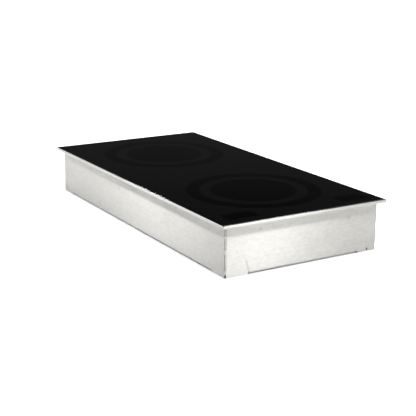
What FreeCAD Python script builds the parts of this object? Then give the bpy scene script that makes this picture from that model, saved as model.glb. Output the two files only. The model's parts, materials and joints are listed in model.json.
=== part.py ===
import FreeCAD, Part
import math
import os

# Drop-in induction cooktop with two zones, one behind the other.
# Millimetres, +Z up. Origin: middle of the plane the body stands on. The display end faces -Y.

V = FreeCAD.Vector
X_AXIS = V(1, 0, 0)
Y_AXIS = V(0, 1, 0)
Z_AXIS = V(0, 0, 1)

# --- overall size ---------------------------------------------------------------------------
TOP_HALF_X = 180.0        # outside of the folded rim
TOP_HALF_Y = 360.0
HEIGHT = 100.0            # standing plane to glass surface
OVERHANG = 12.0           # rim beyond the box walls, rests on the worktop
WALL_HALF_X = TOP_HALF_X - OVERHANG
WALL_HALF_Y = TOP_HALF_Y - OVERHANG

# --- folded stainless box -------------------------------------------------------------------
SHEET = 1.2
BEND = 1.0                # inside radius of every fold
FLANGE_Z = 93.0           # underside of the rim
LIP_TOP = 99.2            # top edge of the upturned lip
MITRE_GAP = 0.8           # slit between two lips at a corner
SIDE_SETBACK = 1.8        # side walls stop this far short of the corner
END_SETBACK = 2.8         # end walls stop this far short of the corner
RETURN_Z = 2.1            # underside of the inward fold that carries the cover
RETURN_WIDTH = 14.0
RELIEF_WIDTH = 2.0        # slit at each end of an inward fold
RELIEF_TOP = 4.7
END_FOLD = (-117.6, 122.3)     # inward fold of the front wall, from x to x
SIDE_FOLD = (-302.0, 296.5)    # inward fold of the side walls, from y to y
SMALL_HOLE = (147.6, 4.0, 1.8)  # tooling hole in the front wall: x, z, radius
WELD_SPANS = ((5.9, 14.2), (42.3, 52.0), (72.1, 77.6))
WELD_CROWN = (0.65, 0.3)       # how far the crown of a bead lies inside the side and end faces
PAST = 50.0               # how far a cutting shape runs past the sheet
SLIP = 0.05               # slack between a fastener or thread and its hole

# --- glass and its bond ---------------------------------------------------------------------
GLASS_THICKNESS = 4.0
GLASS_BASE = HEIGHT - GLASS_THICKNESS
GLASS_GAP = 0.6           # joint between glass edge and lip
GLASS_BEVEL = 1.2
GLASS_CORNER = 1.5
BOND_INSIDE = 2.0         # bond starts this far outside the wall
BOND_FOOT = 9.6           # and its foot ends here, clear of the fold
BOND_STEP_Z = 95.4
BOND_TOP = 98.6

# --- base cover -----------------------------------------------------------------------------
COVER_HALF_X = 165.5
COVER_HALF_Y = 345.5
COVER_BOTTOM = 1.3
COVER_TOP = RETURN_Z
SCREW_INSET = 8.0         # cover screws sit this far inside the wall
SIDE_SCREWS = (-270.0, -90.0, 90.0, 270.0)
END_SCREWS = (-80.0, 80.0)
COVER_SCREW = (1.95, 4.0, 1.1, 8.0)          # shank radius, head radius, head height, length
COVER_SCREW_HOLE = 2.2
SLOT_WIDTH = 4.0
SLOT_PITCH = 8.0
INLET_ROWS = 4            # slots on each side of the middle one, under a blower
SINK_SLOTS = 10
SINK_SLOT_Y = (-34.0, -10.0)

# --- zones ----------------------------------------------------------------------------------
ZONES = {"front": -180.0, "rear": 180.0}     # centre of each zone along Y
WINDING_FIRST_RADIUS = 24.0
WINDING_PITCH = 5.0
WINDING_TURNS = 17
LITZ_RADIUS = 2.0
WINDING_Z = 91.7
TAIL_BEND = 12.0
CARRIER_BOTTOM = 84.0
CARRIER_TOP = 89.6
CARRIER_RADIUS = 120.0
ARM_COUNT = 8
ARM_WIDTH = 16.0
FERRITE = (34.0, 104.0, 12.0, 4.0)           # from radius, to radius, width, thickness
PAD_BOTTOM = 93.8
PAD_RADIUS = 122.0
CARRIER_HUB = 30.0
CARRIER_RIM = 8.0         # width of the outer ring
SENSOR_BORE = 3.3         # hole in the hub for the stem of the sensor
SPRING_SEAT = (9.0, 2.0)  # radius, height above the carrier's underside
FERRITE_SLACK = 0.1
FERRITE_ROUND = 0.6
SENSOR_STEM = (3.0, 8.0)  # radius, length below the carrier
SENSOR_CAP = (7.0, 3.0)   # radius, height
PAD_BORE = 10.0
PIN_RADIUS = 2.2
PIN_SLACK = 0.3
PIN_CIRCLE = 116.0
PIN_ANGLES = (22.5, 157.5, 292.5)
PIN_SPRING = (5.0, 4)     # coil radius, turns
SENSOR_SPRING = (6.0, 3)
SPRING_WIRE = 0.5

# --- coil tray ------------------------------------------------------------------------------
TRAY_HALF_X = 160.0
TRAY_HALF_Y = 334.0
TRAY_TOP = 66.0
TRAY_SHEET = 1.5
TRAY_HEM_Z = 53.0
BRACKET_Y = (-250.0, 0.0, 250.0)
BRACKET_WIDTH = 30.0
BRACKET_REACH = 18.0
BRACKET_DROP = 20.0
BRACKET_HOLE = 12.0       # distance of the screw hole from the wall
TRAY_SCREW = (1.7, 3.5, 2.2, 8.0)
TRAY_HUB_HOLE = 10.0      # clears the stem of the sensor
TAIL_HOLE = 5.0           # clears the tail of a winding

# --- display lights under the glass ---------------------------------------------------------
DISPLAYS = {              # footprints: x from, x to, y from, y to
    "left": (-150.0, -87.0, -330.0, -300.0),
    "right": (96.0, 156.0, -330.0, -300.0),
}
DISPLAY_BOARD_Z = 82.0
BOARD_SHEET = 1.6
DISPLAY_INSET = 5.0       # fixing points from the ends of a display board
DISPLAY_SCREW = (1.25, 2.4, 1.5, 6.0)
DISPLAY_POST = (5.0, 1.5)      # across flats, radius of the stub
MODULE_INSET = (10.0, 4.0)     # along x, along y
MODULE_GAP = 0.5          # air between a module and the glass
DIGITS = 3
DIGIT_PITCH = 13.0
DIGIT = (10.0, 3.0, 1.5)  # width, margin, depth

# --- boards ---------------------------------------------------------------------------------
BOARD_BOTTOM = 10.6
BOARD_TOP = BOARD_BOTTOM + BOARD_SHEET
POWER_BOARD = (-150.0, 70.0, -25.0, 135.0)   # x from, x to, y from, y to, from the zone centre
CONTROL_BOARD = (-20.0, 150.0, -333.0, -225.0)
FILTER_BOARD = (-20.0, 150.0, 32.0, 138.0)
BOARD_INSET = 6.0
BOARD_HOLE = 1.6
BOARD_SCREW = (1.25, 2.8, 1.8, 6.5)
BOARD_POST = (6.0, 2.0)   # across flats, radius of the stub
POST_THREAD = 1.3         # radius and depth of the threaded bore
POST_BORE = 7.0
SINK = (-100.0, -28.0, -18.0, 92.0, 56.0)    # x, x, y, y from the zone centre, top z
SINK_BASE = 5.0
SINK_CHEEK = 6.0
FIN = 1.6
FIN_PITCH = 7.6
SWITCH_Y = (-14.0, 12.0, 38.0, 64.0)
SWITCH = (5.0, 16.0, 8.0, 29.0)              # thickness, width, underside and top above the board
SWITCH_LEG = (2.0, 1.0, 1.2)                 # gap to the sink, thickness, width
SWITCH_LEGS = (2.0, 7.4, 12.8)               # places across the package

# --- larger components: x from, x to, length along y, height, first edges along y ------------
ROUND_EDGE = 1.5
DC_CAPACITORS = (-146.0, -106.0, 56.0, 42.0, (-16.0, 46.0))
RESONANT_CAPACITORS = (32.0, 62.0, 14.0, 30.0, (38.0, 58.0, 78.0, 98.0))
CHOKE = (24.0, 62.0, -16.0, 20.0)            # x, x, y, y from the zone centre
CHOKE_Z = (4.0, 30.0)     # underside and top above the board
CHOKE_YOKE = (6.0, 5.0)   # thickness of the sides, of the top and bottom
CHOKE_LEG = 6.0           # radius of the centre leg
CHOKE_FOOT = 4.0
CHOKE_COIL = (12.0, 6.3, 9.5, 24.5)          # radii, underside and top above the board
COIL_TERMINAL = (4.0, 8.0)                   # half width, height

# --- components of the small boards, measured from a corner of the board ----------------------
RELAYS = (4, 34.0, 20.0, 28.0, 12.0, 25.0)   # count, pitch, margin, length, width, height
TRANSFORMER = (112.0, 150.0, -50.0, -18.0, 28.0)   # x, x, y, y from the far edge, height
FILTER_CORE = (24.0, 12.0, 20.0, 46.0, -34.0)      # radii, height, x, y from the far edge
FILTER_CORE_ROUND = 3.0
MAINS_CAPACITORS = (3, 24.0, 90.0, 40.0, 18.0, 16.0, 28.0)   # count, pitch, x, length, y, width, height
FUSES = (2, 16.0, 16.0, 32.0, 12.0, 10.0, 14.0)              # count, pitch, x, length, y, width, height

# --- blowers --------------------------------------------------------------------------------
BLOWER_X = -95.0
BLOWER_DY = -95.0         # from the zone centre
BLOWER_FLOOR = COVER_TOP + 2.0
BLOWER_ROOF = 34.0
BLOWER_LID = 2.0
BLOWER_EARS = ((135, 55.0), (225, 58.5), (315, 63.5))    # angle and distance from the axis
BLOWER_EAR = 6.0
BLOWER_EAR_TOP = BLOWER_FLOOR + 2.0
BLOWER_WALL = 2.0
BLOWER_SCREW = (1.45, 2.8, 1.8, 5.0)
SCROLL_START = 48.0       # distance of the wall from the axis at the tongue
SCROLL_MOUTH = (10.0, 59.0, 58.0)            # x from, x to, y of the mouth
SCROLL_ARCS = ((0.0, -2.0, 50.0, 90.0), (3.0, -2.0, 53.0, 180.0), (3.0, 1.0, 56.0, 270.0))
INLET_RADIUS = 34.0
LID_BORE = 3.6
SLEEVE = (3.5, 13.0)      # radius, lower end
STATOR = (8.0, 13.0, 6.0, 15.0, 27.0)        # core radius, pole reach, pole width, bottom, top
MOTOR_PLATE = (12.0, 2.0)
IMPELLER_RADIUS = 45.0
IMPELLER_BOTTOM = 8.0
IMPELLER_TOP = 31.0
IMPELLER_CUP = (18.0, 16.0, 10.0, 2.0)       # radii, underside, floor thickness
IMPELLER_DISC = 1.6
IMPELLER_RING = 2.0
BLADE_COUNT = 28
BLADE_DEPTH = 10.0
BLADE_SHY = 0.5           # blades end this far inside the ring
BLADE_LEAN = math.radians(9.0)
BLADE_SPAN = (0.028, 0.022)                  # thickness as an angle at the inner and outer ends
SHAFT_RADIUS = 1.5
SHAFT_CLEARANCE = 0.05

# --- rear wall fittings ---------------------------------------------------------------------
GLAND = (118.0, 28.0)     # x, z
GLAND_BORE = 6.5
GLAND_THREAD = 10.0
GLAND_FLATS = (24.0, 26.0)     # body, locknut
GLAND_COLLAR = 4.0
GLAND_CAP = (11.5, 9.0, 7.4)   # radii, length
GLAND_TAIL = 9.0          # thread inside the wall
NUT_HEIGHT = 5.0
SOCKETS = ((10.0, 26.0), (45.0, 26.0))
SOCKET_BARREL = 7.0
SOCKET_FLANGE = (9.5, 2.0)
SOCKET_BORE = 4.5
SOCKET_IN = 14.0          # depth inside the wall
SOCKET_OUT = 8.0
SOCKET_FLOOR = 4.0        # the bore ends this deep behind the wall's face
SOCKET_PIN = 0.5
PIN_OFFSET = 2.0          # socket pins from the middle
EARTH = (80.0, 26.0)
EARTH_STUD = (3.0, 9.0, 10.0)  # radius, length inside, length outside
EARTH_FLATS = 10.0
WASHER = (6.2, 1.2)
VENT_X = (-100.0, -12.0)
VENT_Z = (16.0, 52.0)

# --- terminal block and leads ---------------------------------------------------------------
BLOCK = (87.0, 149.0, 278.0, 302.0)
BLOCK_STEP = 18.0
BLOCK_TOP = 28.0
BLOCK_SHOULDER = 5.0
BLOCK_MIDDLE = (BLOCK[2] + BLOCK[3]) / 2
BLOCK_FIXINGS = ((94.0, BLOCK_MIDDLE), (142.0, BLOCK_MIDDLE))
BLOCK_SCREW = (1.45, 2.8, 1.8, 16.4)
POLES = 5
POLE_FIRST = 100.0
POLE_PITCH = 9.0
POLE_Z = 11.0
POLE_HOLE = 2.6
CLAMP_SCREW = (2.0, 13.5, 24.0)              # radius, lower end, top
CLAMP_SLOT = (0.4, 1.0)   # half width, depth
LEAD = 1.5
LEAD_BEND = 9.0
MAINS_LEADS = 4
MAINS_RUN = (274.0, 160.0, 126.0, 34.0)      # y at the block, at the rise, at the board, top z
SUPPLY_LEADS = 3
SUPPLY_RUN = (44.0, -232.0, 40.0)            # y at both boards, top z


# --- small builders -------------------------------------------------------------------------
def box(x0, x1, y0, y1, z0, z1):
    return Part.makeBox(x1 - x0, y1 - y0, z1 - z0, V(x0, y0, z0))


def rod(radius, z0, z1, x=0.0, y=0.0):
    return Part.makeCylinder(radius, z1 - z0, V(x, y, z0))


def rod_y(radius, y0, y1, x, z):
    return Part.makeCylinder(radius, y1 - y0, V(x, y0, z), Y_AXIS)


def tube(outer, inner, z0, z1, x=0.0, y=0.0):
    return rod(outer, z0, z1, x, y).cut(rod(inner, z0, z1, x, y))


def fuse(shapes):
    first = shapes[0]
    return first.fuse(list(shapes[1:])).removeSplitter() if len(shapes) > 1 else first


def group(shapes):
    return Part.Compound(list(shapes))


def moved(shape, x=0.0, y=0.0, z=0.0):
    copy = shape.copy()
    copy.translate(V(x, y, z))
    return copy


def turned(shape, degrees, x=0.0, y=0.0):
    copy = shape.copy()
    copy.rotate(V(x, y, 0), Z_AXIS, degrees)
    return copy


def prism(points, z0, z1):
    """Upright prism over a closed outline of (x, y) points."""
    loop = [V(x, y, z0) for x, y in points]
    return Part.Face(Part.makePolygon(loop + loop[:1])).extrude(V(0, 0, z1 - z0))


def hexagon(across_flats, z0, z1, x=0.0, y=0.0):
    reach = across_flats / math.sqrt(3.0)
    angles = [k * math.pi / 3 for k in range(6)]
    return prism([(x + reach * math.cos(a), y + reach * math.sin(a)) for a in angles], z0, z1)


def hexagon_y(across_flats, y0, y1, x, z):
    nut = hexagon(across_flats, 0.0, y1 - y0)
    nut.rotate(V(0, 0, 0), X_AXIS, -90)
    return moved(nut, x, y0, z)


def offset_path(points, offset, mid_radius):
    """Edges of a folded centre line in the YZ plane, moved sideways by offset."""
    heads = [(b - a).normalize() for a, b in zip(points, points[1:])]
    edges = []
    last = points[0] + X_AXIS.cross(heads[0]) * offset
    for corner, before, after in zip(points[1:-1], heads, heads[1:]):
        side = math.copysign(1.0, before.cross(after).dot(X_AXIS))
        trim = mid_radius * math.tan(before.getAngle(after) / 2)
        centre = corner - before * trim + X_AXIS.cross(before) * side * mid_radius
        radius = mid_radius - side * offset
        enter = centre - X_AXIS.cross(before) * side * radius
        leave = centre - X_AXIS.cross(after) * side * radius
        middle = centre + ((enter - centre) + (leave - centre)).normalize() * radius
        edges.append(Part.LineSegment(last, enter).toShape())
        edges.append(Part.Arc(enter, middle, leave).toShape())
        last = leave
    end = points[-1] + X_AXIS.cross(heads[-1]) * offset
    edges.append(Part.LineSegment(last, end).toShape())
    return edges, points[0] + X_AXIS.cross(heads[0]) * offset, end


def folded(points, x0, x1, sheet=SHEET):
    """Sheet folded along a centre line of (y, z) points, running from x0 to x1."""
    line = [V(x0, y, z) for y, z in points]
    left, left_start, left_end = offset_path(line, sheet / 2, BEND + sheet / 2)
    right, right_start, right_end = offset_path(line, -sheet / 2, BEND + sheet / 2)
    start = Part.LineSegment(left_start, right_start).toShape()
    end = Part.LineSegment(left_end, right_end).toShape()
    outline = Part.Wire(Part.__sortEdges__(left + right + [start, end]))
    return Part.Face(outline).extrude(V(x1 - x0, 0, 0))


def wire_run(points, bend, radius):
    """Round wire along straight runs joined by tangent arcs of one bend radius."""
    stops = [V(*p) for p in points]
    edges = []
    last = stops[0]
    for a, corner, b in zip(stops, stops[1:], stops[2:]):
        before = (corner - a).normalize()
        after = (b - corner).normalize()
        trim = bend * math.tan(before.getAngle(after) / 2)
        enter = corner - before * trim
        leave = corner + after * trim
        inward = (after - before).normalize()
        middle = corner + inward * (math.hypot(bend, trim) - bend)
        if enter.distanceToPoint(last) > 1e-6:
            edges.append(Part.LineSegment(last, enter).toShape())
        edges.append(Part.Arc(enter, middle, leave).toShape())
        last = leave
    edges.append(Part.LineSegment(last, stops[-1]).toShape())
    return swept(edges, radius)


def swept(edges, radius):
    path = Part.Wire(edges)
    start = edges[0].valueAt(edges[0].FirstParameter)
    heading = edges[0].tangentAt(edges[0].FirstParameter)
    ring = Part.Wire([Part.makeCircle(radius, start, heading)])
    return path.makePipeShell([ring], True, False)


def spring(z0, z1, x, y, radius, turns):
    """Compression spring in half-turn arcs, each tilted by its share of the rise."""
    quarter = (z1 - z0 - 2 * SPRING_WIRE) / (4 * turns)
    edges = []
    for k in range(2 * turns):
        side = 1 if k % 2 == 0 else -1
        low = 2 * quarter * k
        crown = V(0, side * math.hypot(radius, quarter), low + quarter)
        high = V(-side * radius, 0, low + 2 * quarter)
        edges.append(Part.Arc(V(side * radius, 0, low), crown, high).toShape())
    return moved(swept(edges, SPRING_WIRE), x, y, z0 + SPRING_WIRE)


def screw(size, z_seat, x, y, up=False):
    """Screw whose head rests at z_seat. Its shank points down, or up when it comes from below."""
    radius, head_radius, head_height, length = size
    if up:
        head = rod(head_radius, z_seat - head_height, z_seat, x, y)
        return fuse([head, rod(radius, z_seat, z_seat + length, x, y)])
    head = rod(head_radius, z_seat, z_seat + head_height, x, y)
    return fuse([head, rod(radius, z_seat - length, z_seat, x, y)])


# --- folded box -----------------------------------------------------------------------------
def wall_panel(half, span, fold, setback, screws):
    """One wall with its rim, built facing -Y. half is the wall's distance from the middle."""
    wall_y = -(half - SHEET / 2)
    lip_y = -(half + OVERHANG - SHEET / 2)
    flange_mid = FLANGE_Z + SHEET / 2
    reach = span + OVERHANG
    outline = [(lip_y, LIP_TOP), (lip_y, flange_mid), (wall_y, flange_mid), (wall_y, 0.0)]
    panel = folded(outline, -reach, reach)
    tools = []
    for side in (-1, 1):
        shift = MITRE_GAP / math.sqrt(2.0)
        corner = span - shift
        wedge = [(corner - PAST, PAST - half), (corner + PAST, -half - PAST), (corner + PAST, PAST - half)]
        tools.append(prism([(side * x, y) for x, y in wedge], -1.0, HEIGHT))
        x0, x1 = sorted((side * (span - setback), side * (reach + 1)))
        tools.append(box(x0, x1, -half - 0.1, SHEET - half + 0.1, -1.0, FLANGE_Z - BEND))
    tools.append(box(fold[0] - RELIEF_WIDTH, fold[1] + RELIEF_WIDTH, -half - 1, 2 - half, -1.0, RELIEF_TOP))
    panel = panel.cut(tools)
    return_mid = RETURN_Z + SHEET / 2
    inward = folded([(wall_y, RELIEF_TOP), (wall_y, return_mid), (RETURN_WIDTH - half, return_mid)], *fold)
    holes = [rod(COVER_SCREW[0] + SLIP, 0.0, RELIEF_TOP, x, SCREW_INSET - half) for x in screws]
    return fuse([panel, inward]).cut(holes)


def front_panel():
    x, z, radius = SMALL_HOLE
    panel = wall_panel(WALL_HALF_Y, WALL_HALF_X, END_FOLD, END_SETBACK, END_SCREWS)
    return panel.cut(rod_y(radius, -WALL_HALF_Y - 1, 2 - WALL_HALF_Y, x, z))


def rear_panel():
    panel = wall_panel(WALL_HALF_Y, WALL_HALF_X, (-END_FOLD[1], -END_FOLD[0]), END_SETBACK, END_SCREWS)
    panel = turned(panel, 180)
    inside = WALL_HALF_Y - 4
    outside = WALL_HALF_Y + 1
    tools = [rod_y(GLAND_THREAD + SLIP, inside, outside, *GLAND)]
    tools.append(rod_y(EARTH_STUD[0] + SLIP, inside, outside, *EARTH))
    tools += [rod_y(SOCKET_BARREL + SLIP, inside, outside, x, z) for x, z in SOCKETS]
    x = VENT_X[0]
    while x < VENT_X[1]:
        tools.append(box(x, x + SLOT_WIDTH, inside, outside, *VENT_Z))
        x += SLOT_PITCH
    return panel.cut(tools)


def corner_welds():
    """Short stitch welds that close the open corner seams."""
    end_x = WALL_HALF_X - END_SETBACK
    end_y = WALL_HALF_Y - SIDE_SETBACK
    beads = []
    for sx in (-1, 1):
        for sy in (-1, 1):
            for z0, z1 in WELD_SPANS:
                side_outer = V(sx * WALL_HALF_X, sy * end_y, z0)
                side_inner = V(sx * (WALL_HALF_X - SHEET), sy * end_y, z0)
                end_inner = V(sx * end_x, sy * (WALL_HALF_Y - SHEET), z0)
                end_outer = V(sx * end_x, sy * WALL_HALF_Y, z0)
                crown = V(sx * (WALL_HALF_X - WELD_CROWN[0]), sy * (WALL_HALF_Y - WELD_CROWN[1]), z0)
                edges = [
                    Part.LineSegment(side_outer, side_inner).toShape(),
                    Part.LineSegment(side_inner, end_inner).toShape(),
                    Part.LineSegment(end_inner, end_outer).toShape(),
                    Part.Arc(end_outer, crown, side_outer).toShape(),
                ]
                beads.append(Part.Face(Part.Wire(edges)).extrude(V(0, 0, z1 - z0)))
    return group(beads)


def around_walls(distance, z0, z1):
    """Block whose sides lie a distance outside the walls."""
    x, y = WALL_HALF_X + distance, WALL_HALF_Y + distance
    return box(-x, x, -y, y, z0, z1)


def rim_frame(inside, outside, z0, z1):
    return around_walls(outside, z0, z1).cut(around_walls(inside, z0, z1))


def glass_bond():
    lip_inside = OVERHANG - SHEET
    return fuse([
        rim_frame(BOND_INSIDE, BOND_FOOT, FLANGE_Z + SHEET, BOND_STEP_Z),
        rim_frame(BOND_INSIDE, lip_inside, BOND_STEP_Z, GLASS_BASE),
        rim_frame(lip_inside - GLASS_GAP, lip_inside, GLASS_BASE, BOND_TOP),
    ])


def glass_top():
    half_x = TOP_HALF_X - SHEET - GLASS_GAP
    half_y = TOP_HALF_Y - SHEET - GLASS_GAP
    plate = box(-half_x, half_x, -half_y, half_y, GLASS_BASE, HEIGHT)
    upright = [e for e in plate.Edges if abs(e.tangentAt(0).z) > 0.9]
    plate = plate.makeFillet(GLASS_CORNER, upright)
    rim = [e for e in plate.Edges if e.BoundBox.ZMin > HEIGHT - 0.01]
    return plate.makeChamfer(GLASS_BEVEL, rim)


def screw_spots():
    """Places of the cover screws, under the inward folds of all four walls."""
    spots = [(side * (WALL_HALF_X - SCREW_INSET), y) for side in (-1, 1) for y in SIDE_SCREWS]
    spots += [(x, side * (WALL_HALF_Y - SCREW_INSET)) for side in (-1, 1) for x in END_SCREWS]
    return spots


def board_corners(board, dy=0.0):
    x0, x1, y0, y1 = board
    inset = BOARD_INSET
    return [(x, y + dy) for x in (x0 + inset, x1 - inset) for y in (y0 + inset, y1 - inset)]


def all_board_corners():
    spots = board_corners(CONTROL_BOARD) + board_corners(FILTER_BOARD)
    for centre in ZONES.values():
        spots += board_corners(POWER_BOARD, centre)
    return spots


def blower_ears(centre):
    """Three fixing ears around a blower housing."""
    ears = []
    for degrees, reach in BLOWER_EARS:
        angle = math.radians(degrees)
        ears.append((BLOWER_X + reach * math.cos(angle), centre + BLOWER_DY + reach * math.sin(angle)))
    return ears


def base_cover():
    plate = box(-COVER_HALF_X, COVER_HALF_X, -COVER_HALF_Y, COVER_HALF_Y, COVER_BOTTOM, COVER_TOP)
    above = 2 * COVER_TOP
    tools = [rod(COVER_SCREW_HOLE, 0.0, above, x, y) for x, y in screw_spots()]
    tools += [rod(BOARD_POST[1] + SLIP, 0.0, above, x, y) for x, y in all_board_corners()]
    tools += [rod(BLOCK_SCREW[0] + SLIP, 0.0, above, x, y) for x, y in BLOCK_FIXINGS]
    for centre in ZONES.values():
        tools += [rod(BLOWER_SCREW[0] + SLIP, 0.0, above, x, y) for x, y in blower_ears(centre)]
        for row in range(-INLET_ROWS, INLET_ROWS + 1):
            offset = row * SLOT_PITCH
            half = math.sqrt((INLET_RADIUS + 1) ** 2 - offset ** 2)
            y = centre + BLOWER_DY + offset
            slot = box(-half, half, -SLOT_WIDTH / 2, SLOT_WIDTH / 2, 0.0, above)
            tools.append(moved(slot, BLOWER_X, y))
    for k in range(SINK_SLOTS):
        x = SINK[0] + k * SLOT_PITCH
        tools.append(box(x, x + SLOT_WIDTH, *SINK_SLOT_Y, 0.0, above))
    return plate.cut(tools)


# --- coil tray ------------------------------------------------------------------------------
def tray_bracket_spots():
    return [(side, y) for side in (-1, 1) for y in BRACKET_Y]


def tray_brackets():
    inner = WALL_HALF_X - SHEET
    under = TRAY_TOP - TRAY_SHEET
    brackets = []
    for side, y in tray_bracket_spots():
        y0, y1 = y - BRACKET_WIDTH / 2, y + BRACKET_WIDTH / 2
        a, b = sorted((side * (inner - SHEET), side * inner))
        c, d = sorted((side * (inner - BRACKET_REACH), side * inner))
        hole = rod(TRAY_SCREW[0] + SLIP, under - 5, under + 5, side * (inner - BRACKET_HOLE), y)
        leg = box(a, b, y0, y1, under - BRACKET_DROP, under)
        shelf = box(c, d, y0, y1, under - SHEET, under)
        brackets.append(fuse([leg, shelf]).cut(hole))
    return group(brackets)


def tray_fixing_spots():
    return [(side * (WALL_HALF_X - SHEET - BRACKET_HOLE), y) for side, y in tray_bracket_spots()]


def display_posts(area):
    x0, x1, y0, y1 = area
    return [(x0 + DISPLAY_INSET, (y0 + y1) / 2), (x1 - DISPLAY_INSET, (y0 + y1) / 2)]


def pin_spots(centre):
    """Three guide pins of a coil carrier, between its arms."""
    spots = []
    for degrees in PIN_ANGLES:
        angle = math.radians(degrees)
        spots.append((PIN_CIRCLE * math.cos(angle), centre + PIN_CIRCLE * math.sin(angle)))
    return spots


def coil_tray():
    middle = TRAY_TOP - TRAY_SHEET / 2
    hem_y = TRAY_HALF_Y - TRAY_SHEET / 2
    outline = [(-hem_y, TRAY_HEM_Z), (-hem_y, middle), (hem_y, middle), (hem_y, TRAY_HEM_Z)]
    tray = folded(outline, -TRAY_HALF_X, TRAY_HALF_X, TRAY_SHEET)
    low, high = TRAY_TOP - 5, TRAY_TOP + 5
    tools = [rod(TRAY_SCREW[0] + 3 * SLIP, low, high, x, y) for x, y in tray_fixing_spots()]
    for centre in ZONES.values():
        tools.append(rod(TRAY_HUB_HOLE, low, high, 0.0, centre))
        tools += [rod(TAIL_HOLE, low, high, x, y) for x, y in tail_spots(centre)]
        tools += [rod(PIN_RADIUS, low, high, x, y) for x, y in pin_spots(centre)]
    for area in DISPLAYS.values():
        tools += [rod(DISPLAY_POST[1] + SLIP, low, high, x, y) for x, y in display_posts(area)]
    return tray.cut(tools)


def tail_spots(centre):
    """Where the two ends of a winding drop towards the power board: inner end, outer end."""
    outer = WINDING_FIRST_RADIUS + WINDING_TURNS * WINDING_PITCH
    return [(TAIL_BEND, centre + WINDING_FIRST_RADIUS), (-TAIL_BEND, centre + outer)]


# --- coils ----------------------------------------------------------------------------------
def coil_winding(centre):
    """Flat spiral of litz wire in half-turn arcs, with both ends bent down to the board terminals."""
    r = WINDING_FIRST_RADIUS
    z = WINDING_Z
    drop = BOARD_TOP + COIL_TERMINAL[1]
    bow = TAIL_BEND * math.sqrt(0.5)
    low = z - TAIL_BEND
    edges = [
        Part.LineSegment(V(r, -TAIL_BEND, drop), V(r, -TAIL_BEND, low)).toShape(),
        Part.Arc(V(r, -TAIL_BEND, low), V(r, -bow, low + bow), V(r, 0, z)).toShape(),
    ]
    for _ in range(WINDING_TURNS):
        opposite = V(-r, 0, z)
        lowest = V(WINDING_PITCH / 2, -r - WINDING_PITCH / 2, z)
        edges.append(Part.Arc(V(r, 0, z), V(0, r, z), opposite).toShape())
        r += WINDING_PITCH
        edges.append(Part.Arc(opposite, lowest, V(r, 0, z)).toShape())
    edges.append(Part.Arc(V(r, 0, z), V(r, bow, low + bow), V(r, TAIL_BEND, low)).toShape())
    edges.append(Part.LineSegment(V(r, TAIL_BEND, low), V(r, TAIL_BEND, drop)).toShape())
    return moved(turned(swept(edges, LITZ_RADIUS), 90), 0.0, centre)


def arm_angles():
    return [k * 360.0 / ARM_COUNT for k in range(ARM_COUNT)]


def coil_carrier(centre):
    """Moulded wheel with hollow arms. The winding lies on it and the ferrite bars sit in its arms."""
    hub = rod(CARRIER_HUB, CARRIER_BOTTOM, CARRIER_TOP)
    rim = tube(CARRIER_RADIUS, CARRIER_RADIUS - CARRIER_RIM, CARRIER_BOTTOM, CARRIER_TOP)
    arm_end = CARRIER_RADIUS - CARRIER_RIM / 2
    arm = box(CARRIER_HUB - 10, arm_end, -ARM_WIDTH / 2, ARM_WIDTH / 2, CARRIER_BOTTOM, CARRIER_TOP)
    wheel = fuse([hub, rim] + [turned(arm, a) for a in arm_angles()])
    r0, r1, width, height = FERRITE
    half_width = width / 2 + FERRITE_SLACK
    pocket_top = CARRIER_BOTTOM + height + FERRITE_SLACK
    pocket = box(r0 - FERRITE_SLACK, r1 + FERRITE_SLACK, -half_width, half_width, 0, pocket_top)
    tools = [turned(pocket, a) for a in arm_angles()]
    tools.append(rod(SPRING_SEAT[0], CARRIER_BOTTOM + SPRING_SEAT[1], HEIGHT))
    tools.append(rod(SENSOR_BORE, 0, HEIGHT))
    half = LITZ_RADIUS + 1.0
    inner, outer = tail_spots(0.0)
    tools.append(box(-1.0, inner[0] + half, inner[1] - half, inner[1] + half, 0, HEIGHT))
    tools.append(box(outer[0] - half, 1.0, outer[1] - half, outer[1] + half, 0, HEIGHT))
    tools += [rod(PIN_RADIUS + PIN_SLACK, 0, HEIGHT, px, py) for px, py in pin_spots(0.0)]
    return moved(wheel.cut(tools), 0, centre)


def ferrite_bars(centre):
    r0, r1, width, height = FERRITE
    bar = box(r0, r1, -width / 2, width / 2, CARRIER_BOTTOM, CARRIER_BOTTOM + height)
    bar = bar.makeFillet(FERRITE_ROUND, [e for e in bar.Edges if abs(e.tangentAt(0).z) > 0.9])
    return group(moved(turned(bar, a), 0, centre) for a in arm_angles())


def insulation_pad(centre):
    return tube(PAD_RADIUS, PAD_BORE, PAD_BOTTOM, GLASS_BASE, 0.0, centre)


def temperature_sensor(centre):
    """Button pressed against the glass, with a stem that slides in the carrier's hub."""
    stem_radius, below = SENSOR_STEM
    cap_radius, cap_height = SENSOR_CAP
    cap_base = GLASS_BASE - cap_height
    stem = rod(stem_radius, CARRIER_BOTTOM - below, cap_base, 0.0, centre)
    return fuse([stem, rod(cap_radius, cap_base, GLASS_BASE, 0.0, centre)])


def carrier_springs(centre):
    springs = [spring(TRAY_TOP, CARRIER_BOTTOM, x, y, *PIN_SPRING) for x, y in pin_spots(centre)]
    seat = CARRIER_BOTTOM + SPRING_SEAT[1]
    springs.append(spring(seat, GLASS_BASE - SENSOR_CAP[1], 0.0, centre, *SENSOR_SPRING))
    return group(springs)


def guide_pins():
    pins = []
    for centre in ZONES.values():
        pins += [rod(PIN_RADIUS, TRAY_TOP - TRAY_SHEET, CARRIER_TOP, x, y) for x, y in pin_spots(centre)]
    return group(pins)


# --- display lights -------------------------------------------------------------------------
def display_board(area):
    x0, x1, y0, y1 = area
    holes = [rod(DISPLAY_SCREW[0] + SLIP, 0, HEIGHT, x, y) for x, y in display_posts(area)]
    return box(x0, x1, y0, y1, DISPLAY_BOARD_Z, DISPLAY_BOARD_Z + BOARD_SHEET).cut(holes)


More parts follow.
